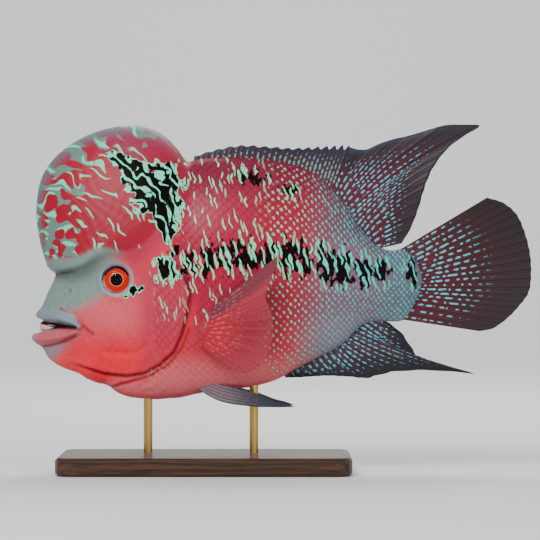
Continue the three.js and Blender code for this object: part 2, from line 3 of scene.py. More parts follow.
import bpy
import numpy as np
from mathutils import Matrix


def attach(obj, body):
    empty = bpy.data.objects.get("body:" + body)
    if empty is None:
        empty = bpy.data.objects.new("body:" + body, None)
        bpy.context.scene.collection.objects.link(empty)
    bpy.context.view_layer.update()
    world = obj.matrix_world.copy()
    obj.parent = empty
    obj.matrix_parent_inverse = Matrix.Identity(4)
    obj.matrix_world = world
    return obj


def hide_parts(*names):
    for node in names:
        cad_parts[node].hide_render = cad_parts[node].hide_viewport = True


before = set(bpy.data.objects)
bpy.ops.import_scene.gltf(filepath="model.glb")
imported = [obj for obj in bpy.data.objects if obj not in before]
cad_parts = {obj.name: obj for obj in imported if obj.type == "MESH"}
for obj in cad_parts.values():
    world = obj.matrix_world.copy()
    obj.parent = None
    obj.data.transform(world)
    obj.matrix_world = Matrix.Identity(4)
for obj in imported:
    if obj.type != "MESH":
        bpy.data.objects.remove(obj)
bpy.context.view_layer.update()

# Skin
# One unbroken wet skin from lips to tail root: head, forehead hump, jaw, gill covers, trunk and tail stalk.
# Real skin grows over all of them, so it is modelled as a single surface round the whole body.
MM = 0.001

# Each station is x, z at the ridge of the back, x, z of the middle and x, z at the keel, in millimetres.
STATIONS = np.array([
    [-138, 82.5, -138, 82.5, -138, 82.5],
    [-137.5, 86, -136.5, 82, -139.5, 78.5],
    [-137, 90.5, -131, 82.5, -140, 74.5],
    [-135, 94.5, -126.5, 84, -138, 71.5],
    [-133, 99.5, -123, 86, -135, 69],
    [-130.5, 104.5, -118.5, 88.5, -132.5, 64.5],
    [-129, 108, -114.5, 91.5, -128.5, 61],
    [-128.5, 111, -111, 94, -123, 58],
    [-131, 114, -107.5, 97, -116, 55.5],
    [-134, 119.5, -104, 100.5, -110, 52],
    [-137, 130, -101, 104, -105, 50],
    [-139, 145.5, -97.5, 107, -99, 48.5],
    [-136.5, 163.5, -93.5, 110.5, -93.5, 44.5],
    [-128.5, 176.5, -89, 113.5, -87, 42],
    [-114.5, 187, -84, 115.5, -79.5, 41],
    [-98.5, 193, -78.5, 116.5, -72, 40.5],
    [-83, 194.5, -72, 117.5, -65, 41],
    [-69.5, 190.5, -65.5, 116.5, -58, 41.5],
    [-60, 182, -58.5, 116, -51.5, 43],
    [-54, 174.5, -51.5, 115.5, -44, 44.5],
    [-47, 176, -43, 115, -36, 45.5],
    [-35.5, 177, -31.5, 114.5, -26.5, 46.5],
    [-21.5, 176.5, -18.5, 114, -16, 48],
    [-7.5, 175, -6, 113.5, -4, 51.5],
    [6.5, 172.5, 7, 113, 7, 57.5],
    [18, 167.5, 18.5, 112, 18.5, 63.5],
    [27.5, 159, 28, 111.5, 27.5, 68],
    [36, 149.5, 36.5, 110.5, 35.5, 73.5],
    [43.5, 137.5, 44.5, 109, 42, 80.5],
    [52, 127.5, 51.5, 107.5, 49, 84],
    [60.5, 124.5, 59.5, 106.5, 57, 84.5],
    [68, 125, 68, 106.5, 67, 85],
    [73.5, 120, 76, 107.5, 73, 92.5],
    [77, 113.5, 78, 107.5, 77, 102],
], float)
STATIONS = np.column_stack([np.arange(len(STATIONS)), STATIONS])
# x and the half width of the body there.
HALF_WIDTH = np.array([
    [-140, 7.5], [-134, 10.5], [-125.5, 14], [-114, 17.5], [-103, 20], [-93.5, 22], [-80.5, 25],
    [-66.5, 27], [-52.5, 27.5], [-35.5, 27], [-18.5, 25], [-2, 22], [15, 18.5], [32, 14.5], [49, 10.5],
    [65.5, 6.5], [72, 4.2], [78, 1.6],
])
# x and how sharp the section is at the ridge and at the keel: a low power is blunt.
SHARPNESS = np.array([
    [-140, 0.5, 0.5], [-60, 0.5, 0.5], [-45, 0.62, 0.5], [0, 0.68, 0.55], [40, 0.66, 0.66], [80, 0.6, 0.6],
])
# x, the height of the hump's lower edge, and half the height over which the hump swells out.
HUMP_EDGE = np.array([
    [-140, 110, 1.5], [-128.5, 111, 1.8], [-120, 112, 2.6], [-111.5, 113.5, 4], [-103, 118, 6.5],
    [-94.5, 121, 9], [-86, 123, 12], [-78, 127, 15], [-66, 140, 20], [-50, 165, 24],
])
HUMP_HALF_WIDTH = 29.5
MOUTH_DEPTH = 7.5
# z and x along the rear edge of head and gill cover.
GILL_EDGE = np.array([
    [181, -54], [170, -58], [160, -60], [150, -62], [144, -63], [130, -63.5], [120, -61.5], [112, -57.5],
    [105.5, -54], [98.5, -52.5], [92, -53.5], [85, -55], [77.5, -57], [70, -60.5], [63.5, -66.5],
    [59, -74], [55.8, -82], [54, -95], [50.5, -112], [47.5, -118], [40, -120],
])[::-1]
# Lines in the side view, each a list of x, z.
GILL_RIM = [
    (-122, 63), (-109.5, 59.3), (-99.7, 56.2), (-87.6, 55), (-77.8, 56.8), (-69.3, 61.3), (-61.5, 68.6),
    (-57, 78.5), (-53.8, 91.4), (-52.6, 99.8), (-55, 107.7), (-60, 114.5), (-64, 122),
]
GILL_FOLD = [(-104, 46.5), (-96.3, 48.6), (-89, 50.9), (-75, 55), (-64.8, 61), (-57.5, 70), (-53.5, 80)]
CHEEK_GROOVE = [
    (-73.5, 112), (-73.6, 96), (-73.8, 79.6), (-76, 71.5), (-80.6, 68), (-88, 66.7), (-99.7, 67.8),
]
MOUTH_GAP = [(-143, 82), (-133, 82), (-124, 81.9), (-116, 81.2)]
UPPER_LIP = [(-138, 88.6), (-130, 88.2), (-124, 86.9), (-118, 84.6), (-114.2, 82.2)]
HUMP_MAZE = [(-94, 177.5), (-84, 168), (-72, 158.5), (-64.5, 147), (-64, 131)]
EYE = np.array([-92.6, 108.0])


def follow(rows, t):
    """Smooth curve through the rows: a cubic between neighbours, with the slope of the chord past each."""
    key = rows[:, 0]
    value = rows[:, 1:]
    slope = np.empty_like(value)
    slope[1:-1] = (value[2:] - value[:-2]) / (key[2:] - key[:-2])[:, None]
    slope[0] = (value[1] - value[0]) / (key[1] - key[0])
    slope[-1] = (value[-1] - value[-2]) / (key[-1] - key[-2])
    t = np.asarray(t, float)
    i = np.clip(np.searchsorted(key, t, side="right") - 1, 0, len(key) - 2)
    span = (key[i + 1] - key[i])[..., None]
    s = np.clip((t - key[i])[..., None] / span, 0, 1)
    near = value[i] * (1 + 2 * s) * (1 - s) ** 2 + slope[i] * span * s * (1 - s) ** 2
    far = value[i + 1] * s * s * (3 - 2 * s) - slope[i + 1] * span * s * s * (1 - s)
    return near + far


def ramp(low, high, x):
    """Smooth S from 0 at low to 1 at high, level outside them. It falls where low is over high."""
    s = np.clip((x - low) / (high - low), 0, 1)
    return s * s * (3 - 2 * s)


def bump(x, width):
    """A bell of height 1 at x = 0 that falls off over the width."""
    return np.exp(-((x / width) ** 2))


def near_path(x, z, path):
    """Distance in the side view to a path of x, z points, and the share of the way along it."""
    best = np.full(np.shape(x), 1e9)
    share = np.zeros(np.shape(x))
    for k in range(len(path) - 1):
        a = np.array(path[k], float)
        d = np.array(path[k + 1], float) - a
        t = np.clip(((x - a[0]) * d[0] + (z - a[1]) * d[1]) / (d @ d), 0, 1)
        gap = np.hypot(x - a[0] - t * d[0], z - a[1] - t * d[1])
        share = np.where(gap < best, (k + t) / (len(path) - 1), share)
        best = np.minimum(best, gap)
    return best, share


def beside_path(x, z, path):
    """Distance to a path, negative on the left as one goes along it, and the share of the way along it."""
    best, share = near_path(x, z, path)
    steps = np.clip((share * (len(path) - 1)).astype(int), 0, len(path) - 2)
    points = np.array(path, float)
    a, b = points[steps], points[steps + 1]
    turn = (b[..., 0] - a[..., 0]) * (z - a[..., 1]) - (b[..., 1] - a[..., 1]) * (x - a[..., 0])
    return np.where(turn > 0, -best, best), share


def plain_flank(s, p):
    """Bare body in millimetres at station s and share p from ridge to keel: a quadratic section line in the
    side view, and a half width that is the width curve times a power of sin(pi p)."""
    t = follow(STATIONS, s)
    ridge, middle, keel = t[..., 0:2], t[..., 2:4], t[..., 4:6]
    control = 2 * middle - (ridge + keel) / 2
    p1 = p[..., None]
    xz = (1 - p1) ** 2 * ridge + 2 * p1 * (1 - p1) * control + p1 * p1 * keel
    x, z = xz[..., 0], xz[..., 1]
    face = follow(HALF_WIDTH, x)[..., 0]
    edge = follow(HUMP_EDGE, x)
    hump = ramp(edge[..., 0] - edge[..., 1], edge[..., 0] + edge[..., 1], z) * (1 - ramp(-72, -50, x))
    sharp = follow(SHARPNESS, x)
    power = sharp[..., 0] + (sharp[..., 1] - sharp[..., 0]) * p
    nose = np.sqrt(1 - (1 - np.minimum(s / 3, 1)) ** 2)
    half = (face + (HUMP_HALF_WIDTH - face) * hump) * np.clip(np.sin(np.pi * p), 0, 1) ** power * nose
    return np.stack([x, -half, z], axis=-1)


def hump_crease(x):
    """Height of the crease under the hump at x."""
    return follow(HUMP_EDGE, x)[..., 0]


def relief(x, z):
    """Height of the skin's own forms above the bare body, in millimetres: a sum of bells and steps over the
    distance in the side view to the crease, eye, nostril, gill cover, folds and lips."""
    over = z - hump_crease(x)
    out = -1.3 * bump(over, 1.6) * (1 - ramp(-116, -96, x))
    out += 0.7 * bump(over - 5, 4) * (1 - ramp(-118, -90, x))
    out += 1.4 * bump(np.hypot(x + 92, z - 80), 15)
    eye = np.hypot(x - EYE[0], z - EYE[1])
    out += 0.75 * bump(eye - 9.6, 1.7) - 2.6 * (1 - ramp(6, 8.2, eye))
    nostril = np.hypot(x + 119.5, z - 101.5)
    out += 0.45 * bump(nostril - 2, 0.8) - 1.5 * bump(nostril, 1.1)
    back, share = beside_path(x, z, GILL_RIM)
    ends = ramp(0, 0.12, share) * ramp(1, 0.88, share)
    out += 1.2 * edge_step(back, 8) * ends - 1.0 * bump(back - 1.3, 1.1) * ends
    fold, share = beside_path(x, z, GILL_FOLD)
    out += (0.5 * edge_step(fold, 3) - 0.5 * bump(fold - 1, 0.9)) * ramp(1, 0.8, share)
    jowl, share = near_path(x, z, [(-121, 92), (-114.5, 87.5), (-109.5, 80.5), (-107.5, 75)])
    out -= 0.6 * bump(jowl, 1.0) * (1 - 0.5 * share)
    for path, depth, width in (
        (CHEEK_GROOVE, 0.55, 1.6), ([(-114, 80), (-111, 77.5), (-108, 74.5)], 0.4, 0.9),
        ([(-137, 70.5), (-128, 70.8), (-120, 73.4), (-113.5, 76.5)], 0.6, 1.0),
    ):
        out -= depth * bump(near_path(x, z, path)[0], width)
    lip, share = near_path(x, z, UPPER_LIP)
    out += 2.2 * bump(lip, 2.6 - 0.9 * share)
    lip, share = near_path(x, z, [(-141, 75.2), (-132, 74.9), (-124, 76.3), (-117, 78.6)])
    out += 2.3 * bump(lip, 2.9 - 1.2 * share)
    out += 1.9 * bump(np.hypot((x + 45.5) / 5, (z - 79) / 9), 1)
    pores = np.sin(x * 0.9 + 2 * np.sin(z * 0.21)) * np.sin(z * 0.8 + 2 * np.sin(x * 0.17))
    return out + 0.12 * pores * ramp(-60, -70, x)


def edge_step(away, width):
    """Lip of a flap: it swells over the width ahead of its edge and drops within half a millimetre of it."""
    return np.where(away < 0, np.exp(np.minimum(away, 0) / width), np.exp(-np.maximum(away, 0) / 0.5))


def flank(s, p):
    """Left side of the finished skin in millimetres, and the bare body's normals: the bare body is moved
    along them by the relief, and pushed in between the lips."""
    plain = plain_flank(s, p)
    x, z = plain[..., 0], plain[..., 2]
    step = 1e-3
    along = plain_flank(s + step, p) - plain_flank(np.maximum(s - step, 0), p)
    inner = np.clip(p, 0.004, 0.996)
    across = plain_flank(s, inner + step) - plain_flank(s, inner - step)
    normal = np.cross(across, along)
    normal /= np.maximum(np.linalg.norm(normal, axis=-1, keepdims=True), 1e-12)
    side = ramp(0.0, 2.5, -plain[..., 1])
    gap, share = near_path(x, z, MOUTH_GAP)
    mouth = (1 - ramp(0, 2.1, gap - 3.0 * (1 - share) - 0.1)) * (1 - ramp(-117, -113.5, x))
    made = plain + normal * (relief(x, z) * (0.35 + 0.65 * side) * (1 - 0.8 * mouth))[..., None]
    made -= normal * (mouth * (MOUTH_DEPTH - 4 * share))[..., None]
    made[..., 1] = np.where((p < 1e-6) | (p > 1 - 1e-6), 0, np.minimum(made[..., 1], -0.02))
    return made, normal


def grid_quads(index):
    """One quad between each four neighbours of a grid of vertex numbers."""
    corners = [index[:-1, :-1], index[1:, :-1], index[1:, 1:], index[:-1, 1:]]
    return np.stack(corners, axis=-1).reshape(-1, 4)


def grid_mesh(name, points, closed=False, flip=False):
    """Mesh over a grid of points in millimetres, joined across the seam if closed."""
    rows, columns = points.shape[:2]
    index = np.arange(rows * columns).reshape(rows, columns)
    if closed:
        index = np.concatenate([index, index[:, :1]], axis=1)
    quads = grid_quads(index)
    return quads_mesh(name, points.reshape(-1, 3), quads[:, ::-1] if flip else quads)


def quads_mesh(name, points, quads):
    """Mesh object at the origin from points in millimetres and quads."""
    mesh = bpy.data.meshes.new(name)
    mesh.vertices.add(len(points))
    mesh.vertices.foreach_set("co", (np.asarray(points) * MM).astype(np.float32).ravel())
    mesh.loops.add(quads.size)
    mesh.loops.foreach_set("vertex_index", np.ascontiguousarray(quads).astype(np.int32).ravel())
    mesh.polygons.add(len(quads))
    mesh.polygons.foreach_set("loop_start", np.arange(0, quads.size, 4, dtype=np.int32))
    mesh.update(calc_edges=True)
    mesh.validate()
    mesh.polygons.foreach_set("use_smooth", np.ones(len(mesh.polygons), dtype=bool))
    made = bpy.data.objects.new(name, mesh)
    bpy.context.scene.collection.objects.link(made)
    return made


def set_value(made, name, values):
    """Stores one number per vertex under that name."""
    stored = made.data.attributes.new(name, "FLOAT", "POINT")
    stored.data.foreach_set("value", np.asarray(values, np.float32).ravel())


def tint(code):
    """Linear colour of a display colour code."""
    parts = np.array([int(code[i : i + 2], 16) for i in (0, 2, 4)]) / 255
    return np.where(parts <= 0.04045, parts / 12.92, ((parts + 0.055) / 1.055) ** 2.4)


def spot(x, z, centre, reach, turn=0.0):
    """1 at the centre of a turned ellipse, 0.5 on its outline and 0 at twice its size, falling evenly."""
    c, s = math.cos(math.radians(turn)), math.sin(math.radians(turn))
    u = ((x - centre[0]) * c + (z - centre[1]) * s) / reach[0]
    v = (-(x - centre[0]) * s + (z - centre[1]) * c) / reach[1]
    return np.clip(1 - np.hypot(u, v) * 0.5, 0, 1)


def gill_edge(z):
    """x of the rear edge of head and gill cover at height z."""
    return np.interp(z, GILL_EDGE[:, 0], GILL_EDGE[:, 1])


def nape_edge(z):
    """x where the hump ends and the nape begins at height z."""
    return -63.5 + (z - 150) * 0.39


def regions(x, z):
    """Masks of hump and head in the side view, each 0 to 1."""
    hump = ramp(-1.5, 2.5, z - hump_crease(x)) * ramp(3, -3, x - nape_edge(z))
    head = ramp(1.5, -1.5, x - gill_edge(z)) * (1 - hump)
    return hump, head


def hump_foot(x, z):
    """1 in the smooth grey strip at the foot of the hump, in front of the eye."""
    return ramp(10, 6.5, z - hump_crease(x) + 9 * ramp(-108, -82, x)) * ramp(-80, -88, x)


def coat_colour_and_painted_light(x, y, z):
    """Large soft colours of the coat as linear RGB, with painted shade in its creases, folds and mouth gap
    and painted light on the belly, each laid over those before it where its mask is 1.
    """
    hump, head = regions(x, z)
    rear = ramp(2, 34, x - (z - 57) * 0.12 + 6)
    over = z - hump_crease(x)
    snout, snout_share = near_path(x, z, [(-138, 92), (-128, 98), (-112, 103), (-100, 109), (-94, 114)])
    corner, _ = near_path(x, z, [(-124, 91.6), (-119.5, 89), (-115, 85), (-110.5, 81.2), (-106, 77.6)])
    lower, _ = near_path(x, z, [(-140, 74.6), (-132, 74.4), (-124, 75.9), (-117, 78.2)])
    upper, upper_share = near_path(x, z, UPPER_LIP)
    under, _ = near_path(x, z, [(-135, 70.4), (-130, 71.2), (-124.5, 72.8), (-120, 74.6), (-116, 76.6)])
    gap, gap_share = near_path(x, z, MOUTH_GAP)
    rim, rim_share = beside_path(x, z, GILL_RIM)
    fold, _ = beside_path(x, z, GILL_FOLD)
    colour = np.zeros(np.shape(x) + (3,)) + tint("9f1535")
    for mask, code in (
        (ramp(92, 60, z) * 0.75, "d83c4a"),
        # Paler pink belly: partly the belly's own colour, partly painted light standing in for light thrown
        # up from below.
        (ramp(70, 46, z) * ramp(-110, -84, x) * 0.9, "ea6e74"),
        (ramp(142, 172, z) * ramp(-64, -50, x) * 0.8, "6d1f38"),
        (rear * 0.85, "69606f"),
        (rear * ramp(122, 138, z) * 0.55, "50323f"),
        (rear * ramp(150, 168, z) * 0.8, "5c2338"),
        (ramp(44, 66, x) * 0.8, "4f6068"),
        (rear * ramp(96, 76, z) * 0.6, "848894"),
        (head * 0.95, "c63348"),
        (head * spot(x, z, (-97, 88), (17, 13)) * 1.2, "d0545c"),
        (head * ramp(86, 64, z) * ramp(-128, -108, x), "e42034"),
        (head * ramp(122, 108, z) * ramp(-84, -74, x) * 0.6, "a83048"),
        (head * ramp(18, 8, snout + 6 * snout_share), "72867f"),
        (head * ramp(-116, -126, x) * ramp(96, 88, z) * ramp(64, 71, z) * 0.7, "7b8288"),
        (head * ramp(69, 63, z) * ramp(-104, -112, x), "e8323a"),
        (head * ramp(-122, -130, x) * ramp(76, 70, z) * ramp(60, 65, z) * 0.8, "7a8088"),
        # Painted shade: a dark line in the fold that runs down behind the upper jaw to the mouth's corner.
        (bump(corner, 0.9) * 0.9, "86202c"),
        (ramp(4.6, 3.4, lower) * ramp(-140, -136, x), "b2545c"),
        (ramp(4.4, 3.2, upper + 2.4 * ramp(0.7, 1, upper_share)), "78868f"),
        # Painted shade: a dark line in the crease under the lower lip.
        (bump(under, 0.7) * 0.75, "6a2834"),
        # Painted shade: near-black in the gap between the lips, where the inside of the mouth lies in shade.
        (1 - ramp(0, 1.2, gap - 2.6 * (1 - gap_share)), "3c0d0d"),
        (hump, "94142a"),
        (hump * spot(x, z, (-93, 158), (24, 18)) * 0.8, "98182e"),
        (hump * ramp(168, 190, z) * ramp(-112, -92, x) * 0.85, "8c3450"),
        (hump * ramp(13, 4, np.abs(y)) * ramp(-56, -80, x) * 0.9, "5e6c76"),
        (hump * hump_foot(x, z), "70857f"),
        (ramp(10.0, 9.2, np.hypot(x - EYE[0], z - EYE[1])) * 0.8, "8496a6"),
        # Painted shade: a dark line in the groove just behind the edge of the gill cover.
        (bump(rim - 1.1, 0.9) * ramp(0, 0.12, rim_share) * 0.85, "40090f"),
        (bump(rim - 3.6, 2.2) * ramp(0, 0.2, rim_share) * ramp(0.8, 0.6, rim_share) * 0.6, "d8202a"),
        # Painted shade: a dark line in the groove under the edge of the lower gill fold.
        (bump(fold - 0.9, 0.8) * 0.6, "5a1018"),
        (head * ramp(-15, -1, over) * ramp(-100, -82, x) * 0.85, "a62842"),
        (bump(over, 4.5) * ramp(-92, -102, x), "6c807a"),
        # Painted shade: a near-black line in the deep crease under the overhanging front of the hump.
        (bump(over, 0.9) * ramp(-112, -120, x) * 0.8, "20181a"),
    ):
        colour = colour + (tint(code) - colour) * np.clip(mask, 0, 1)[..., None]
    return colour


def blotches(x, z):
    """Field of the black blotches: 1 at the middle of each, 0.5 on its outline and 0 at twice its size."""
    field = np.zeros(np.shape(x))
    for centre, reach, turn in (
        ((-64.5, 113.5), (6.6, 6.6), 0), ((-59.5, 124), (2.6, 3.2), 0), ((-51, 116.5), (5, 8), 20),
        ((-41, 119.5), (6, 8.6), -8), ((-30, 121), (6.4, 9), 10), ((-19, 121), (6.4, 9.4), -6),
        ((-8, 121.5), (6.4, 10), 6), ((3, 120.5), (6.6, 10.6), -8), ((12, 119.5), (4.6, 9.6), 4),
        ((24, 117), (6, 11.6), 8), ((34, 115), (6.4, 10.6), -8), ((45, 112.5), (5.6, 10), 6),
        ((55, 112), (4.6, 8), 0), ((71.5, 111.5), (4.2, 7.4), 0),
        ((-84.6, 101.0), (5.6, 2.3), 26), ((-17, 165), (10, 4), -8), ((4, 157), (6, 3.6), -30),
    ):
        field = np.maximum(field, spot(x, z, centre, reach, turn))
    return field


def maze_field(x, z):
    """Field of the black maze on the rear of the hump: 1 along its middle line and 0.5 at its edge."""
    away, share = near_path(x, z, HUMP_MAZE)
    reach = np.interp(share, [0, 0.25, 0.5, 0.75, 1], [2.5, 6.5, 15, 9.5, 2.5])
    return np.clip(1 - 0.5 * away / reach, 0, 1)


def strokes(x, z):
    """Mask of the upright pale strokes: nape, rear of the gill cover, front flank and round blotches."""
    gill = gill_edge(z)
    ahead = ramp(gill - 4, gill + 3, x) * ramp(84, 94, z - 0.12 * x)
    cover = ramp(-73, -67, x) * ramp(84, 88, z) * ramp(112, 105, z) * ramp(gill - 2, gill - 5, x)
    shown = np.maximum(ahead * ramp(-72, -66, x), cover * 0.9) * ramp(-4, -18, x)
    return np.maximum(shown, ramp(0.24, 0.42, blotches(x, z)) * ramp(-77, -73, x))


def set_coat(made, points):
    """Stores the coat's colour, with its painted shade and light, and the masks of its markings on the
    vertices at those points.
    """
    x, y, z = points[..., 0], points[..., 1], points[..., 2]
    colour = coat_colour_and_painted_light(x, y, z).reshape(-1, 3)
    rgba = np.column_stack([colour, np.ones(len(colour))]).astype(np.float32)
    made.data.color_attributes.new("coat", "FLOAT_COLOR", "POINT").data.foreach_set("color", rgba.ravel())
    hump, head = regions(x, z)
    for name, values in (
        ("blotch", blotches(x, z)), ("hump", hump * (1 - hump_foot(x, z))), ("head", head),
        ("maze", maze_field(x, z)), ("stroke", strokes(x, z) * (1 - hump)),
    ):
        set_value(made, name, values)


station_lines = np.concatenate([np.linspace(0.02, 19, 226)[:-1], np.linspace(19, 33, 116)])
shares = np.linspace(0, 1, 124)
shares = 0.45 * (1 - np.cos(np.pi * shares)) / 2 + 0.55 * shares
left, _ = flank(*np.meshgrid(station_lines, shares, indexing="ij"))
ring = np.concatenate([left, left[:, -2:0:-1] * (1, -1, 1)], axis=1)
front_cap, rear_cap = (
    np.repeat(end.mean(axis=1, keepdims=True), ring.shape[1], axis=1) for end in (ring[:1], ring[-1:])
)
skin_points = np.concatenate([front_cap, ring, rear_cap])
skin = grid_mesh("skin", skin_points, closed=True, flip=True)
set_coat(skin, skin_points)


def fill(made, inputs):
    """Sets inputs of a node, each to a value, a colour code or the socket that feeds it."""
    for key, value in inputs.items():
        if isinstance(value, bpy.types.NodeSocket):
            made.id_data.links.new(value, made.inputs[key])
        else:
            made.inputs[key].default_value = (*tint(value), 1) if isinstance(value, str) else value


def new_node(tree, kind, inputs, **settings):
    """Shader node of that kind with those settings and inputs."""
    made = tree.nodes.new("ShaderNode" + kind)
    for key, value in settings.items():
        setattr(made, key, value)
    fill(made, inputs)
    return made


def calc(operation, *values):
    """Math node on sockets and numbers."""
    tree = next(value for value in values if isinstance(value, bpy.types.NodeSocket)).id_data
    return new_node(tree, "Math", dict(enumerate(values)), operation=operation).outputs[0]


def plus(a, b):
    """a + b as a node."""
    return calc("ADD", a, b)


def minus(a, b):
    """a - b as a node."""
    return calc("SUBTRACT", a, b)


def times(a, b):
    """a times b as a node."""
    return calc("MULTIPLY", a, b)


def times_plus(a, b, c):
    """a times b, plus c, as a node."""
    return calc("MULTIPLY_ADD", a, b, c)


def mix(factor, a, b):
    """Colour a changed to colour b where the factor is 1."""
    return new_node(factor.id_data, "Mix", {0: factor, 6: a, 7: b}, data_type="RGBA").outputs[2]


def shaded(colour, amount):
    """Colour times a brightness."""
    inputs = {0: colour, "Scale": amount}
    return new_node(colour.id_data, "VectorMath", inputs, operation="SCALE").outputs[0]


def step(value, low, high, top=1):
    """Smooth S of a socket from 0 at low to top at high."""
    inputs = {0: value, 1: low, 2: high, "To Max": top}
    return new_node(value.id_data, "MapRange", inputs, interpolation_type="SMOOTHSTEP").outputs[0]


def noise(place, scale, detail=2, rough=0.5, warp=0):
    """Noise value at a place in millimetres."""
    inputs = {"Vector": place, "Scale": scale, "Detail": detail, "Roughness": rough, "Distortion": warp}
    return new_node(place.id_data, "TexNoise", inputs).outputs[0]


def attribute(tree, name, kind="Fac"):
    """Number or colour stored on the mesh under that name."""
    return new_node(tree, "Attribute", {}, attribute_name=name).outputs[kind]


def place_mm(tree, stretch=(1, 1, 1)):
    """Object coordinates in millimetres, stretched along each axis."""
    place = new_node(tree, "TexCoord", {}).outputs["Object"]
    return new_node(tree, "Mapping", {"Vector": place, "Scale": [v / MM for v in stretch]}).outputs[0]


def axes(vector):
    """The three numbers of a vector."""
    return new_node(vector.id_data, "SeparateXYZ", {0: vector}).outputs


def cells(across, along, width, length, scatter=0.75):
    """Distance to the nearest of scattered points, in cells of that width and length."""
    sizes = {0: calc("DIVIDE", across, width), 1: calc("DIVIDE", along, length)}
    place = new_node(across.id_data, "CombineXYZ", sizes).outputs[0]
    inputs = {"Vector": place, "Scale": 1, "Randomness": scatter}
    return new_node(across.id_data, "TexVoronoi", inputs, voronoi_dimensions="2D").outputs["Distance"]


# Markings shared by the skin and the scales: patches, dashes and a maze on the hump, strokes and blotches.
markings = bpy.data.node_groups.new("coat_markings", "ShaderNodeTree")
MASKS = ("Blotch", "Hump", "Head", "Maze", "Stroke")
for label, way, kind in (
    ("Coat", "INPUT", "NodeSocketColor"), *((mask, "INPUT", "NodeSocketFloat") for mask in MASKS),
    ("Color", "OUTPUT", "NodeSocketColor"), ("Dark", "OUTPUT", "NodeSocketFloat"),
):
    markings.interface.new_socket(label, in_out=way, socket_type=kind)
given = markings.nodes.new("NodeGroupInput").outputs
x_mm, _, z_mm = axes(place_mm(markings))
place = place_mm(markings, (1, 0.6, 1))
fine = noise(place, 0.6, 3, 0.6)
soft = minus(noise(place, 0.1, 0.6, 0.4), 0.5)
curl = minus(noise(place, 0.24, 0.5, 0.4), 0.5)
streak = minus(noise(place_mm(markings, (1, 0.4, 0.5)), 0.38), 0.5)
breaks = noise(place_mm(markings, (1, 0.6, 0.7)), 0.3, 1)

# The hump's marks run along circles round a point low on its front: bent is the radius, sweep the turn.
TURN_X, TURN_Z = -136, 104
from_x, from_z = minus(x_mm, TURN_X), minus(z_mm, TURN_Z)
reach = calc("SQRT", times_plus(from_z, from_z, times(from_x, from_x)))
bent = times_plus(curl, 1.3, times_plus(soft, 14, reach))
sweep = times(calc("ARCTAN2", from_z, from_x), 42)
dash_far = cells(bent, sweep, 4.1, 19, 0.7)
patch_far = cells(bent, sweep, 6.4, 10, 0.6)
out_x = calc("MINIMUM", times_plus(x_mm, 1 / 32, 88 / 32), 0)
out_z = times_plus(z_mm, 1 / 42, -146 / 42)
outward = times_plus(soft, 1.2, times_plus(out_z, out_z, times(out_x, out_x)))
front = step(outward, 0.4, 0.95)
patches = step(minus(patch_far, times_plus(front, -0.6, 0.98)), -0.02, 0.05)
network = times(patches, given["Hump"])
in_net = calc("MAXIMUM", minus(1, front), network)
dashes = step(minus(dash_far, times_plus(front, 0.13, 0.17)), 0.02, -0.02)
dash_pale = times(times(dashes, given["Hump"]), step(in_net, 0.3, 0.6))

# The maze: black with pale worm lines, drawn in lanes that follow the same circles.
maze_edge = times_plus(curl, 0.9, given["Maze"])
maze_dark = step(maze_edge, 0.5, 0.53)
maze_rim = times(step(maze_edge, 0.44, 0.455), step(breaks, 0.36, 0.42))
lane = calc("PINGPONG", plus(curl, calc("DIVIDE", bent, 5.6)), 0.5)
lane_line = times(step(lane, 0.18, 0.13), step(breaks, 0.38, 0.44))
maze_pale = calc("MAXIMUM", lane_line, step(cells(bent, sweep, 6, 7), 0.22, 0.17))

# Upright strokes on the nape, gill cover and front flank, thickest over the black band.
stroke_x = times_plus(z_mm, 0.16, times_plus(curl, 4, x_mm))
stroke_z = times_plus(x_mm, 1.4, z_mm)
stroke_far = cells(stroke_x, stroke_z, 2.8, 13, 0.8)
stroke_size = times_plus(step(given["Blotch"], 0.3, 0.5), 0.09, 0.185)
stroke = times(step(minus(stroke_far, stroke_size), 0.03, -0.03), given["Stroke"])

# Black blotches of the lateral band, torn into upright shreds, and edged in mint on the head.
ragged = times_plus(streak, 1.7, given["Blotch"])
near_blotch = step(given["Blotch"], 0.2, 0.3)
blotch_dark = times(step(ragged, 0.56, 0.6), near_blotch)
blotch_ring = times(times(step(ragged, 0.42, 0.46), near_blotch), given["Head"])

# Colours laid over the coat in turn.
painted = shaded(given["Coat"], times_plus(fine, 0.4, 0.8))
for mask, code in (
    (times(network, 0.92), "5c8078"), (dash_pale, "62d4ac"), (maze_rim, "74e0b8"), (maze_dark, "0a0506"),
    (times(maze_pale, maze_dark), "70e0b4"), (blotch_ring, "6cdcb4"), (blotch_dark, "060405"),
    (stroke, mix(step(x_mm, -10, 50), "7ce0b0", "36c4b8")),
):
    painted = mix(mask, painted, code)
dark = calc("MAXIMUM", blotch_dark, maze_dark)
fill(markings.nodes.new("NodeGroupOutput"), {"Color": painted, "Dark": dark})


def new_material(name, inputs):
    """Material whose Principled shader has a wet coat's gloss and those inputs."""
    made = bpy.data.materials.new(name)
    made.use_nodes = True
    shader = made.node_tree.nodes["Principled BSDF"]
    fill(shader, {"IOR": 1.38, "Specular IOR Level": 0.25, "Coat Roughness": 0.12, **inputs})
    return made, made.node_tree, shader


def add_bump(shader, height, distance, strength):
    """Bump of that height in millimetres under the shader."""
    inputs = {"Height": height, "Distance": distance * MM, "Strength": strength}
    fill(shader, {"Normal": new_node(shader.id_data, "Bump", inputs).outputs[0]})


def coat_markings(tree):
    """The shared markings fed from the mesh's attributes."""
    inputs = {mask: attribute(tree, mask.lower()) for mask in MASKS}
    inputs["Coat"] = attribute(tree, "coat", "Color")
    return new_node(tree, "Group", inputs, node_tree=markings).outputs


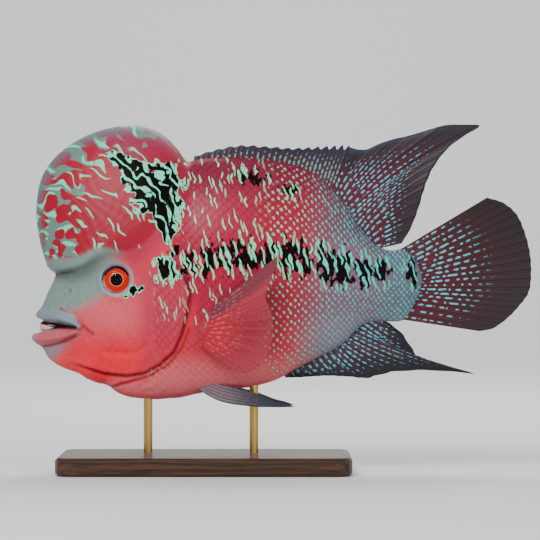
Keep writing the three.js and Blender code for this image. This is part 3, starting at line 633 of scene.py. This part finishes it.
skin_material, tree, shader = new_material("skin_material", {
    "Roughness": 0.5, "Coat Roughness": 0.38, "Specular IOR Level": 0.05,
    "Subsurface Weight": 0.08, "Subsurface Radius": (0.004, 0.0015, 0.001),
})
coat = coat_markings(tree)
fill(shader, {"Base Color": coat["Color"], "Coat Weight": times_plus(coat["Dark"], -0.3, 0.32)})
add_bump(shader, noise(place_mm(tree), 1.1, 4, 0.6), 0.25, 0.5)
skin.data.materials.append(skin_material)
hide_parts("nuchal_hump", "head", "lower_jaw", "upper_lip", "lower_lip", "gill_cover_left",
            "gill_cover_right", "trunk", "tail_stalk")
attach(skin, "root")

# Scales
# Thin overlapping plates of bone and clear skin on trunk, nape and gill covers, each rooted under the one
# ahead. Every plate is bent to the body under it, and its free rear edge stands a little off the flank.
RNG = np.random.default_rng(7)
PITCH = 4.9
PLATE_LENGTH = 1.42 * PITCH
PLATE_WIDTH = 1.16 * PITCH
EDGE_LIFT = 0.34
SIDE_POINTS = 7
SCALE_POINTS = SIDE_POINTS**2
TABLE_ROWS = 370
TABLE_COLUMNS = 240
BAKE_PATCH = 0.003


def arc_lengths(points):
    """Length along each row of points, from its first one."""
    parts = np.linalg.norm(np.diff(points, axis=1), axis=2)
    return np.concatenate([np.zeros((len(points), 1)), np.cumsum(parts, axis=1)], axis=1)


table_s, table_p = np.linspace(14, 32.4, TABLE_ROWS), np.linspace(0.015, 0.985, TABLE_COLUMNS)
table_points, table_normals = flank(*np.meshgrid(table_s, table_p, indexing="ij"))
middle_pair = slice(TABLE_COLUMNS // 2 - 1, TABLE_COLUMNS // 2 + 1)
arc = arc_lengths(table_points)
arc -= arc[:, middle_pair].mean(axis=1, keepdims=True)
mid_line = table_points[:, middle_pair].mean(axis=1)
along_arc = arc_lengths(mid_line[None])[0]


def table_place(u, v):
    """Point and normal on the left flank at u millimetres along the mid line and v along the section, read
    from a table between its four neighbours, then whether v is inside it, and the row and column."""
    i = np.clip(np.interp(u, along_arc, np.arange(TABLE_ROWS)), 0, TABLE_ROWS - 1.001)
    i0 = i.astype(int)
    share = (i - i0)[:, None]
    row = arc[i0] + (arc[i0 + 1] - arc[i0]) * share
    j0 = np.clip((row < v[:, None]).sum(axis=1) - 1, 0, TABLE_COLUMNS - 2)
    k = np.arange(len(u))
    t = np.clip((v - row[k, j0]) / (row[k, j0 + 1] - row[k, j0]), 0, 1)[:, None]
    values = []
    for grid in (table_points, table_normals):
        near = grid[i0, j0] * (1 - t) + grid[i0, j0 + 1] * t
        far = grid[i0 + 1, j0] * (1 - t) + grid[i0 + 1, j0 + 1] * t
        values.append(near * (1 - share) + far * share)
    inside = (v > row[:, 0]) & (v < row[:, -1])
    return *values, inside, i, t[:, 0] + j0


def tailward(x):
    """0 on the front of the trunk and 1 at the tail root."""
    return ramp(-30, 58, x)


# Scales shrink towards the tail, and their rows draw together with the body.
column = [0.0]
while column[-1] < along_arc[-1]:
    here = np.interp(column[-1], along_arc, mid_line[:, 0])
    column.append(column[-1] + PITCH / 2 * (1 - 0.36 * tailward(here)))
column = np.array(column[:-1])
level = np.arange(-40, 41) * PITCH * 0.53
lattice_u, lattice_v = np.meshgrid(column, level, indexing="ij")
lattice_v = lattice_v * (1 - 0.3 * tailward(np.interp(column, along_arc, mid_line[:, 0])))[:, None]
staggered = np.add.outer(np.arange(len(column)), np.arange(len(level))) % 2 == 0
roots = np.stack([lattice_u[staggered], lattice_v[staggered]])
root_point, _, inside, *root_cell = table_place(*roots)
rx, rz = root_point[:, 0], root_point[:, 2]
gill = gill_edge(rz)
on_trunk = (rx > gill + 1.6) & (rx < 75)
on_cover = (rx < gill - 5.5) & (rx > -75) & (rz < 116) & (rz > 60)
on_nape = (rx > -80) & (rx < gill - 1) & (rz > 118) & (rz > hump_crease(rx) + 1) & (rx > nape_edge(rz) + 1)
keep = inside & (on_trunk | on_cover | on_nape)
root_u, root_v = roots[:, keep]
root_i, root_j = (cell[keep] for cell in root_cell)
rx, rz = rx[keep], rz[keep]
count = len(root_u)

# One plate is a square grid bent to a disc, laid over the flank and lifted along its free edge.
small = 1 - 0.34 * tailward(rx) - 0.08 * ramp(70, 48, rz)
disc_a, disc_b = np.meshgrid(*[np.linspace(-1, 1, SIDE_POINTS)] * 2, indexing="ij")
disc_x = (disc_a * np.sqrt(1 - disc_b**2 / 2)).ravel()
disc_y = (disc_b * np.sqrt(1 - disc_a**2 / 2)).ravel()
length, width = (PLATE_LENGTH * small)[:, None], (PLATE_WIDTH * small)[:, None]
all_u = root_u[:, None] + (disc_x + 1) * length / 2 - 0.25 * length
all_v = root_v[:, None] + disc_y * width / 2
point, normal, *_ = table_place(all_u.ravel(), all_v.ravel())
lift = EDGE_LIFT * ramp(-0.6, 1, disc_x) * small[:, None] - 0.16 + 0.12 * (1 - disc_y**2)
point = point + normal * lift.reshape(-1, 1)
quad = grid_quads(np.arange(SCALE_POINTS).reshape(SIDE_POINTS, SIDE_POINTS))
faces = (quad + (np.arange(count) * SCALE_POINTS)[:, None, None]).reshape(-1, 4)
local_uv = np.tile(np.column_stack([disc_x * 0.5 + 0.5, disc_y * 0.5 + 0.5]), (count, 1))
pearl_here = RNG.random(count)
pearl = ramp(52, 66, rz + 0.3 * rx + 8) * (1 - 0.75 * ramp(-36, -52, rx) * ramp(100, 84, rz))
pearl = pearl * (0.45 + 0.55 * ramp(0.1, 0.3, pearl_here)) * ramp(-20, -6, rx)
pearl = pearl * ramp(0.5, 0.36, blotches(rx, rz))
rear_dash = 0.2 + (0.25 + 0.35 * ramp(100, 130, rz)) * ramp(-5, 35, rx) + 0.3 * (pearl_here - 0.5)

# Each scale has one pearly spot, round or drawn out to a dash, and a dark rim that is pale on the belly.
scale_material, tree, shader = new_material("scale_material", {
    "Roughness": 0.45, "Coat Roughness": 0.32, "Specular IOR Level": 0.05,
})
coat = coat_markings(tree)
local = new_node(tree, "UVMap", {}, uv_map="Local").outputs[0]
u, v, _ = axes(local)
dash, size = attribute(tree, "dash"), attribute(tree, "size")
du = minus(u, times_plus(size, 0.2, times_plus(v, 0.22, 0.34)))
du = times(du, times_plus(dash, 3, 6.4))
dv = times(minus(v, attribute(tree, "middle")), times_plus(dash, -3.6, 5.2))
spot_far = times_plus(du, du, times(dv, dv))
spot_far = times_plus(minus(noise(place_mm(tree), 0.45), 0.5), 1.3, spot_far)
pearl_mask = times(step(times(spot_far, size), 0.62, 0.42), attribute(tree, "pearl"))
out_u, out_v = times_plus(u, 2, -1), times_plus(v, 2, -1)
out_far = calc("SQRT", times_plus(out_v, out_v, times(out_u, out_u)))
rim = times(step(out_far, 0.76, 1), step(u, 0.45, 0.6))
painted = mix(times(rim, 0.4), coat["Color"], "4a1420")
painted = mix(times(rim, step(attribute(tree, "low"), 0, 1, 0.55)), painted, "e8a6a8")
painted = mix(pearl_mask, painted, mix(attribute(tree, "cool"), "5cd09a", "22b4b4"))
fill(shader, {"Base Color": painted, "Coat Weight": times_plus(coat["Dark"], -0.38, 0.4)})
ridge_place = new_node(tree, "Mapping", {"Vector": local, "Location": (-0.2, -0.5, 0)}).outputs[0]
ridges = new_node(tree, "TexWave", {"Vector": ridge_place, "Scale": 6}, wave_type="RINGS",
                  rings_direction="SPHERICAL")
add_bump(shader, ridges.outputs["Fac"], 0.05, 0.35)


def set_uv(made, name, values):
    """Stores a UV map from one pair of numbers per vertex."""
    corner = np.empty(len(made.data.loops), np.int32)
    made.data.loops.foreach_get("vertex_index", corner)
    stored = made.data.uv_layers.new(name=name)
    stored.data.foreach_set("uv", values[corner].astype(np.float32).ravel())


for side, label in ((1, "left"), (-1, "right")):
    shown = point * (1, side, 1)
    scales = quads_mesh("scales_" + label, shown, faces[:, ::-side])
    set_coat(scales, shown)
    set_value(scales, "low", ramp(74, 54, shown[:, 2]))
    for name, values in (
        ("pearl", np.clip(pearl, 0, 1)),
        ("dash", np.maximum(1 - ramp(-30, -4, rx), rear_dash)),
        ("size", (0.7 + 0.9 * RNG.random(count)) * (1 - 0.4 * ramp(15, 60, rx))),
        ("middle", 0.5 + 0.3 * (RNG.random(count) - 0.5)),
        ("cool", ramp(-10, 40, rx)),
    ):
        set_value(scales, name, np.repeat(values, SCALE_POINTS))
    set_uv(scales, "Local", local_uv)
    half = 0.25 if side > 0 else 0.75
    patch_v = half + (root_j / TABLE_COLUMNS - 0.5) * 0.46
    patch = np.column_stack([0.02 + 0.96 * root_i / TABLE_ROWS, patch_v])
    set_uv(scales, "OFBake", np.repeat(patch, SCALE_POINTS, axis=0) + (local_uv - 0.5) * BAKE_PATCH)
    scales.data.materials.append(scale_material)
    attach(scales, "root")

# Fins
# Thin membranes stretched between bony rays. Spines are stiff, and soft rays fork towards their tips.
# Each fin grows out of the body and is rooted a little way under the skin.


def surface_normals(points):
    """Unit normals of a grid of points: the cross product of its two central differences."""
    normal = np.cross(np.gradient(points, axis=0), np.gradient(points, axis=1))
    return normal / np.maximum(np.linalg.norm(normal, axis=-1, keepdims=True), 1e-9)


def fin_piece(name, node, material, at, rays, ridge, notch, fork, web=(0.42, 0.22), per_ray=12,
              rows=80):
    """Closed fin: at(r, q) gives its middle sheet, thickened by the web from root to edge plus ridges that
    are bells over the distance to the nearest ray. A ridge parts in two beyond the share fork of its length,
    and all along where fork is over 1.1. Notch draws the edge in between the rays."""
    r = np.linspace(0, 1, (rays - 1) * per_ray + 1)
    grid_r, grid_q = np.meshgrid(r, np.linspace(0, 1, rows), indexing="ij")
    place = grid_r * (rays - 1)
    off = np.abs(place - np.round(place))
    pulled = grid_q * (1 - notch * (1 - np.cos(np.pi * np.minimum(off * 2, 1))) / 2)
    sheet = at(grid_r, pulled)
    parted = 0.2 * ramp(fork, 1.1, grid_q)
    bell = np.exp(-(((off - parted) / 0.12) ** 2)) * (1 - 0.7 * grid_q)
    half = web[0] + (web[1] - web[0]) * grid_q + bell * ridge
    half *= 1 - 0.6 * ramp(0.97, 1, grid_q)
    out = surface_normals(sheet) * half[..., None]
    loop = np.concatenate([sheet + out, (sheet - out)[:, ::-1]], axis=1)
    columns = 2 * rows
    index = np.arange(len(r) * columns).reshape(-1, columns)
    j = np.arange(rows - 1)
    first = np.stack([index[0, j], index[0, j + 1], index[0, -2 - j], index[0, -1 - j]], axis=-1)
    last = np.stack([index[-1, j], index[-1, -1 - j], index[-1, -2 - j], index[-1, j + 1]], axis=-1)
    quads = np.concatenate([grid_quads(np.concatenate([index, index[:, :1]], axis=1)), first, last])
    flat = loop.reshape(-1, 3)
    a, b, c, d = (flat[quads[:, k]] for k in range(4))
    volume = np.einsum("ij,ij->i", a, np.cross(b, c) + np.cross(c, d)).sum()
    made = quads_mesh(name, flat, quads if volume > 0 else quads[:, ::-1])
    gap = np.linalg.norm(np.gradient(sheet, axis=0), axis=2) * per_ray
    for key, values in (("ray", place), ("along", arc_lengths(sheet)), ("share", grid_q), ("gap", gap)):
        set_value(made, key, np.concatenate([values, values[:, ::-1]], axis=1))
    made.data.materials.append(material)
    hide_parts(node)
    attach(made, "root")


def upright(root, margin, arch, sway):
    """Middle sheet of a fin in the fish's middle plane, as a function of r along the root and q out along
    the ray: straight rays bowed by the arch, and waved sideways by the sway's height, count and start."""
    root, margin = np.array(root, float), np.array(margin, float)

    def at(r, q):
        a, m = follow(root, r), follow(margin, r)
        d = m - a
        bow = arch * 4 * r * (1 - r) * 4 * q * (1 - q) / np.linalg.norm(d, axis=-1)
        side = sway[0] * q * q * np.sin(2 * np.pi * (sway[1] * r + sway[2]))
        x = a[..., 0] + d[..., 0] * q - d[..., 1] * bow
        return np.stack([x, side, a[..., 1] + d[..., 1] * q + d[..., 0] * bow], axis=-1)

    return at


def fin_material(name, root, tip, dot, strength, pitch, ray, edge=None, fore=None, sheer=0, dots_end=0.9,
                 split_gap=3.6):
    """Membrane from a root colour to a tip colour with rays and rows of dots. Edge colours the tips of the
    front rays and fore all of the first few. Sheer is how clear the membrane past them gets at the tips, and
    rays further apart than split_gap have two rows of dots between them."""
    made, tree, shader = new_material(name, {"Roughness": 0.5, "Coat Weight": 0.08})
    place = attribute(tree, "ray")
    along, share, gap = attribute(tree, "along"), attribute(tree, "share"), attribute(tree, "gap")
    wobble = noise(place_mm(tree), 0.22)
    fine = noise(place_mm(tree), 1.3, 3, 0.6)
    base = mix(step(share, 0.15, 0.95), root, tip)
    if fore:
        base = mix(step(times_plus(share, 1.8, place), 4, 2.8), base, fore)
    on_ray = step(calc("PINGPONG", place, 0.5), 0.16, 0.04)
    base = mix(times(on_ray, 0.6), base, ray)
    between = step(calc("PINGPONG", times(place, 3), 0.5), 0.3, 0.05)
    base = mix(times(between, step(share, 0.25, 0.6, 0.45)), base, ray)
    rows = plus(calc("GREATER_THAN", gap, split_gap), 1)
    row_gap = calc("DIVIDE", gap, rows)
    row_place = times(place, rows)
    cell = times_plus(calc("FLOOR", row_place), 0.37, calc("DIVIDE", along, pitch))
    cell = calc("FRACT", times_plus(wobble, 2, cell))
    far_along = times(minus(cell, 0.5), pitch * 0.72)
    across = times(times(minus(0.5, calc("PINGPONG", row_place, 0.5)), 1.6), row_gap)
    far = times_plus(far_along, far_along, times(across, across))
    size = times(plus(step(share, 0.85, 0.25, 0.7), 0.35), plus(fine, 0.45))
    size = times(size, step(row_gap, 1.3, 2.5))
    fade = times(times(step(share, dots_end, dots_end - 0.3), step(along, 1, 4)), strength)
    base = mix(times(calc("LESS_THAN", far, size), fade), base, dot)
    if edge:
        base = mix(times(step(share, 0.84, 0.97), step(place, 7, 3)), base, edge)
    fill(shader, {"Base Color": shaded(base, times_plus(fine, 0.5, 0.75))})
    if sheer:
        clear = times(minus(1, on_ray), step(place, 2.5, 6, sheer))
        fill(shader, {"Alpha": minus(1, times(step(share, 0.2, 0.7), clear))})
    add_bump(shader, times(calc("SINE", times(along, 5.2)), on_ray), 0.12, 0.4)
    return made


# Each upright fin's root line and edge: the share of the way from its front to its rear ray, x and z.
fin_piece(
    "spiny_dorsal_fin", "dorsal_fin_spiny",
    fin_material("spiny_fin_material", "5c1a2e", "1c2836", "2ca498", 0.9, 3.6, "3c1424"),
    upright(
        [[0, -51, 171], [0.1, -42, 172.8], [0.25, -27, 173.5], [0.4, -13, 172.5], [0.55, 0.5, 170.5],
         [0.7, 11, 167.5], [0.85, 20, 161.5], [1, 26.5, 155]],
        [[0, -50, 177.3], [0.1, -40, 180.5], [0.25, -25, 183.5], [0.4, -10, 183], [0.55, 4.5, 182],
         [0.7, 17, 182.5], [0.85, 28, 183.3], [1, 37.5, 183.8]],
        arch=1.2, sway=(0.8, 1.2, 0.1)),
    rays=16, web=(0.42, 0.28), ridge=0.4, notch=0.1, fork=2, per_ray=14, rows=40)
fin_piece(
    "soft_dorsal_fin", "dorsal_fin_soft",
    fin_material("soft_fin_material", "581628", "262026", "2cb0c0", 1.0, 4.3, "1e0e16", "27303c",
                 dots_end=0.84, split_gap=4.6),
    upright(
        [[0, 26.3, 155], [0.35, 34, 145], [0.7, 42.5, 133], [1, 50.5, 124.5]],
        [[0, 37, 182.6], [0.08, 46, 181.2], [0.16, 58, 186], [0.24, 74, 190], [0.31, 92, 195],
         [0.38, 110.5, 194.8], [0.46, 103, 189.5], [0.55, 93, 182], [0.64, 84.5, 171], [0.74, 79.5, 159.5],
         [0.84, 76, 148], [0.93, 71.5, 136.5], [1, 66.5, 128.3]],
        arch=4, sway=(3.2, 0.8, 0.05)),
    rays=17, ridge=0.2, notch=0.008, fork=0.4)
fin_piece(
    "tail_fan", "tail_fin",
    fin_material("tail_fin_material", "521622", "2c2224", "2cb4c0", 1.0, 5.2, "180c0e", dots_end=0.74,
                 split_gap=9),
    upright(
        [[0, 64, 123.8], [0.15, 69.5, 118], [0.35, 72.5, 112], [0.5, 73.5, 107.5], [0.65, 72.5, 103],
         [0.85, 69.5, 96], [1, 63, 86]],
        [[0, 114.5, 154], [0.1, 123.5, 151.2], [0.2, 130.8, 145.5], [0.3, 135.4, 136.8],
         [0.42, 139, 124.5], [0.54, 140, 112.5], [0.66, 138.6, 101], [0.78, 132.5, 92.5], [0.88, 126, 86],
         [0.95, 118, 80.5], [1, 110.5, 79]],
        arch=0, sway=(5, 0.7, -0.12)),
    rays=20, web=(0.5, 0.22), ridge=0.26, notch=0.004, fork=0.3)
fin_piece(
    "anal_fin_skin", "anal_fin",
    fin_material("anal_fin_material", "4a2c36", "14141a", "30a8b8", 0.95, 4.0, "100a0e", split_gap=4.4),
    upright(
        [[0, 0, 55], [0.2, 10.5, 61.5], [0.4, 21, 67.5], [0.6, 32, 74], [0.8, 41, 83], [1, 50.5, 87.5]],
        [[0, 1.5, 52.8], [0.12, 10.5, 53], [0.26, 24, 53.8], [0.4, 38, 53.3], [0.5, 48, 52.6],
         [0.58, 62, 56], [0.66, 84, 56.8], [0.73, 107.5, 55], [0.79, 88, 58.6], [0.84, 77.5, 63.5],
         [0.89, 72.5, 69.5], [0.94, 67.5, 77], [1, 59.5, 83.6]],
        arch=-2.4, sway=(2.4, 0.9, 0.3)),
    rays=19, ridge=0.3, notch=0.03, fork=0.45, rows=70)

# Breast fins
# A fan of thirteen fine rays on a fleshy lobe behind each gill cover, spread and swept back.
# The left and right ones are mirror images.
# The share of the way from the upper to the lower ray, x and z.
BREAST_ROOT = np.array([[0, -46.5, 87], [0.5, -44.5, 79.5], [1, -45.5, 71.5]])
BREAST_MARGIN = np.array([
    [0, -3.2, 121], [0.08, -3.6, 116], [0.18, -8, 105.5], [0.28, -9.5, 98], [0.4, -6.3, 89],
    [0.55, -5.6, 77.5], [0.7, -10, 64.5], [0.82, -19.5, 57], [0.92, -29.5, 58.5], [1, -39, 65],
])
BREAST_DEPTH = 22.6
BREAST_SLANT = math.tan(math.radians(24))
breast_material = fin_material("breast_fin_material", "b01c2c", "a03844", "c4747c", 0.35, 4.6, "8a2434",
                               fore="66323e", sheer=0.6, dots_end=0.8)
for side, label in ((-1, "left"), (1, "right")):

    def breast(r, q):
        """Fan that leaves the flank at a slant: its depth grows with the distance from the root."""
        a, m = follow(BREAST_ROOT, r), follow(BREAST_MARGIN, r)
        d = m - a
        away = np.linalg.norm(d, axis=-1) * q
        depth = BREAST_DEPTH + BREAST_SLANT * away * (1 - 0.25 * q)
        depth = depth + 1.1 * q * q * np.sin(2 * np.pi * 1.6 * r) - 2.2 * (2 * r - 1) ** 2 * (1 - q)
        return np.stack([a[..., 0] + d[..., 0] * q, side * depth, a[..., 1] + d[..., 1] * q], axis=-1)

    fin_piece("breast_fin_" + label, "pectoral_fin_" + label, breast_material, breast,
              rays=13, web=(0.3, 0.18), ridge=0.24, notch=0.01, fork=0.4, per_ray=14, rows=64)

# Belly fins
# One spine and five soft rays each, folded back under the belly.
# The outer edge is the longest ray and ends in a point.
# The share of the way from root to tip, x, y and z.
BELLY_OUTER = np.array([
    [0, -51.5, 5.5, 49], [0.3, -36, 12.5, 40.5], [0.6, -18.5, 15.2, 37.6], [0.85, -3, 13.8, 36.9],
    [1, 6.5, 12, 37],
])
BELLY_INNER = np.array([
    [0, -42, 6, 50.5], [0.3, -29, 9.5, 47.5], [0.6, -15, 10.8, 44], [0.85, -5, 11.6, 40.2],
    [1, 1.5, 11.4, 38.6],
])
belly_material = fin_material("belly_fin_material", "6a5660", "2a323a", "7aa8b4", 0.12, 5.0, "3c424c")
for side, label in ((-1, "left"), (1, "right")):

    def belly(r, q):
        """Straight blend from the outer edge to the inner edge at the same share of the length."""
        made = follow(BELLY_OUTER, q) * (1 - r[..., None]) + follow(BELLY_INNER, q) * r[..., None]
        return made * (1, side, 1)

    fin_piece("belly_fin_" + label, "pelvic_fin_" + label, belly_material, belly,
              rays=6, web=(0.4, 0.24), ridge=0.42, notch=0.02, fork=0.5, per_ray=16, rows=64)

# Eyes
# A wet ball in a bony socket: bright red iris round a black pupil, under a clear bulging cornea.
# The iris follows the inside of the cornea at its rim and sinks to a shallow dish round the pupil.
CORNEA_RADIUS = 10.5
CORNEA_RISE = 3.2
IRIS_RADIUS = 8.1
sample = plain_flank(*np.meshgrid(np.linspace(8, 14, 200), np.linspace(0.2, 0.8, 200), indexing="ij"))
nearest = np.hypot(sample[..., 0] - EYE[0], sample[..., 2] - EYE[1]).argmin()
eye_depth = CORNEA_RISE - CORNEA_RADIUS - sample.reshape(-1, 3)[nearest, 1]
iris_material, tree, shader = new_material("iris_material", {"Roughness": 0.5, "Specular IOR Level": 0.05})
_, reach, _ = axes(new_node(tree, "UVMap", {}, uv_map="Ring").outputs[0])
edge = times_plus(minus(noise(place_mm(tree), 1.4, 3, 0.6), 0.5), 0.04, reach)
up = attribute(tree, "up")
fibre_ring = step(calc("ABSOLUTE", minus(edge, 0.66)), 0.1, 0.02, 0.35)
# Painted shade: a black crescent over the top of the iris, where the rim of the socket shades the eye.
top_shade = times(step(times_plus(up, 0.06, edge), 0.8, 0.82), step(up, 0.15, 0.4))
colour = mix(step(edge, 0.42, 0.44), "020203", "c88a4a")
for mask, code in (
    (step(edge, 0.46, 0.49), "c80603"), (fibre_ring, "a80c08"), (step(edge, 0.83, 0.86), "d07a3a"),
    (step(edge, 0.88, 0.92), "6a7888"), (top_shade, "040303"),
):
    colour = mix(mask, colour, code)
fill(shader, {"Base Color": colour})
cornea_material, tree, _ = new_material("cornea_material", {"Roughness": 0.03})
clear = new_node(tree, "BsdfTransparent", {}).outputs[0]
shine = new_node(tree, "BsdfGlossy", {"Roughness": 0.03, "Color": (0.3, 0.3, 0.3, 1)}).outputs[0]
facing = new_node(tree, "Fresnel", {"IOR": 1.38}).outputs[0]
cornea_shader = new_node(tree, "MixShader", {0: facing, 1: clear, 2: shine}).outputs[0]
fill(tree.nodes["Material Output"], {"Surface": cornea_shader})
around = np.linspace(0, 2 * np.pi, 65)
for side, label in ((-1, "left"), (1, "right")):
    turn, share = np.meshgrid(around, np.linspace(0.002, 1, 40), indexing="ij")
    radius = IRIS_RADIUS * share
    dish = eye_depth + np.sqrt((CORNEA_RADIUS - 0.25) ** 2 - radius**2) - 0.8 * ramp(0.9, 0.45, share)
    iris_x, iris_z = EYE[0] + radius * np.cos(turn), EYE[1] + radius * np.sin(turn)
    iris_points = np.stack([iris_x, side * dish, iris_z], axis=-1)
    iris = grid_mesh("iris_" + label, iris_points, flip=side > 0)
    set_uv(iris, "Ring", np.column_stack([turn.ravel() / (2 * np.pi), share.ravel()]))
    set_value(iris, "up", np.sin(turn))
    iris.data.materials.append(iris_material)
    turn, tilt = np.meshgrid(around, np.linspace(0.01, np.pi * 0.62, 40), indexing="ij")
    dome = np.stack([
        EYE[0] + CORNEA_RADIUS * np.sin(tilt) * np.cos(turn),
        side * (eye_depth + CORNEA_RADIUS * np.cos(tilt)),
        EYE[1] + CORNEA_RADIUS * np.sin(tilt) * np.sin(turn),
    ], axis=-1)
    cornea = grid_mesh("cornea_" + label, dome, flip=side > 0)
    cornea.data.materials.append(cornea_material)
    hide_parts("eye_" + label)
    for made in (iris, cornea):
        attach(made, "root")

# Mouth floor
# The inside of the mouth that shows between the parted lips, as one wet pad between the jaws.
# Its lower part is the pale tongue, and its upper part is painted near-black shade of the deep inside of the
# mouth.
turn, tilt = np.meshgrid(np.linspace(0, 2 * np.pi, 49), np.linspace(0, np.pi, 33), indexing="ij")
round_off = np.sin(tilt) ** 0.6
tongue_points = np.stack([
    -128.0 + 9.0 * np.cos(tilt),
    7.0 * round_off * np.cos(turn),
    81.6 + 4.2 * round_off * np.sin(turn),
], axis=-1)
tongue = grid_mesh("tongue", tongue_points)
tongue_material, tree, shader = new_material("tongue_material", {"Roughness": 0.3, "Coat Weight": 0.5})
x_mm, _, z_mm = axes(place_mm(tree))
# Painted shade: the pad's upper part is near-black, standing for the shade deep in the mouth; its lower part
# is the pale tongue.
lining_and_shade = mix(step(times_plus(x_mm, 0.25, z_mm), 48.6, 49.3), "d2a4a6", "3a0a0a")
fill(shader, {"Base Color": lining_and_shade})
tongue.data.materials.append(tongue_material)
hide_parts("mouth_floor")
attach(tongue, "root")

# Stand
# A dark stained wooden plinth and two brass rods, as museums use under a fish model.
# The rods are glued into the plinth and end at the belly.
wood_material, tree, shader = new_material("plinth_material", {"Roughness": 0.45, "Coat Weight": 0.2})
grain = noise(place_mm(tree, (0.02, 0.5, 0.5)), 1, 5, 0.6, 0.4)
fill(shader, {"Base Color": mix(step(grain, 0.35, 0.7), "2a1c14", "523828")})
brass = {"Roughness": 0.28, "Metallic": 1, "Base Color": "c09a55"}
brass_material, _, _ = new_material("rod_material", brass)
for node, material in (
    ("stand_base", wood_material), ("stand_rod_front", brass_material), ("stand_rod_rear", brass_material),
):
    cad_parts[node].data.materials.clear()
    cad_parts[node].data.materials.append(material)

# Backdrop
# A plain pale floor that curves up into a wall behind the model.
# It isn't part of the object.
FLOOR_REACH = 6000
CURVE_START = 2200
CURVE_RADIUS = 600
WALL_TOP = 3600
flat = np.linspace(-FLOOR_REACH, CURVE_START, 24)
bend = np.linspace(0, np.pi / 2, 24)[1:]
profile = np.concatenate([
    np.column_stack([flat, np.zeros(24)]),
    np.column_stack([CURVE_START + CURVE_RADIUS * np.sin(bend), CURVE_RADIUS * (1 - np.cos(bend))]),
    [[CURVE_START + CURVE_RADIUS, WALL_TOP]],
])
floor_points = np.stack([
    np.column_stack([np.full(len(profile), x), profile[:, 0], profile[:, 1] - 0.2])
    for x in (-FLOOR_REACH, FLOOR_REACH)
])
floor = grid_mesh("floor", floor_points, flip=True)
pale = {"Roughness": 0.8, "Base Color": (0.72, 0.72, 0.72, 1)}
floor_material, _, _ = new_material("floor_material", pale)
floor.data.materials.append(floor_material)

# Light and camera
# A broad soft key light from the upper left, a fill from the right, a rim light behind and one on the wall.
# The camera looks square at the fish's left side, as in the photograph.
MODEL_MIDDLE = (0, 0, 0.11)
WALL_MIDDLE = (0, 2.8, 0.5)
for name, lamp_place, aim_place, size, power, colour in (
    ("key", (-0.45, -1.1, 0.95), MODEL_MIDDLE, 0.7, 22, (1, 0.98, 0.95)),
    ("fill", (0.9, -1.1, 0.35), MODEL_MIDDLE, 1.1, 8, (0.93, 0.96, 1)),
    ("rim", (0.2, 0.7, 1.0), MODEL_MIDDLE, 0.8, 9, (1, 1, 1)),
    ("backdrop_light", (0, 1.2, 1.9), WALL_MIDDLE, 1.2, 42, (1, 1, 1)),
):
    lamp = bpy.data.lights.new(name, "AREA")
    lamp.size = size
    lamp.energy = power
    lamp.color = colour
    lamp_object = bpy.data.objects.new(name, lamp)
    bpy.context.scene.collection.objects.link(lamp_object)
    lamp_object.location = lamp_place
    aim = np.array(aim_place) - np.array(lamp_place)
    turn_z = math.atan2(aim[0], -aim[1])
    turn_x = math.acos(-aim[2] / np.linalg.norm(aim))
    lamp_object.rotation_euler = (turn_x, 0, math.pi + turn_z)
world = bpy.data.worlds.new("studio")
world.use_nodes = True
fill(world.node_tree.nodes["Background"], {"Color": (0.9, 0.93, 1, 1), "Strength": 0.38})
bpy.context.scene.world = world
SENSOR_MM = 36
SHOWN_WIDTH = 0.30375
CAMERA_DISTANCE = 1.7
camera = bpy.data.cameras.new("camera")
camera.sensor_width = SENSOR_MM
camera.lens = SENSOR_MM * CAMERA_DISTANCE / SHOWN_WIDTH
camera.clip_start = 0.05
camera_object = bpy.data.objects.new("camera", camera)
bpy.context.scene.collection.objects.link(camera_object)
camera_object.location = (-0.00745, -CAMERA_DISTANCE, 0.1133)
camera_object.rotation_euler = (math.pi / 2, 0, 0)
bpy.context.scene.camera = camera_object
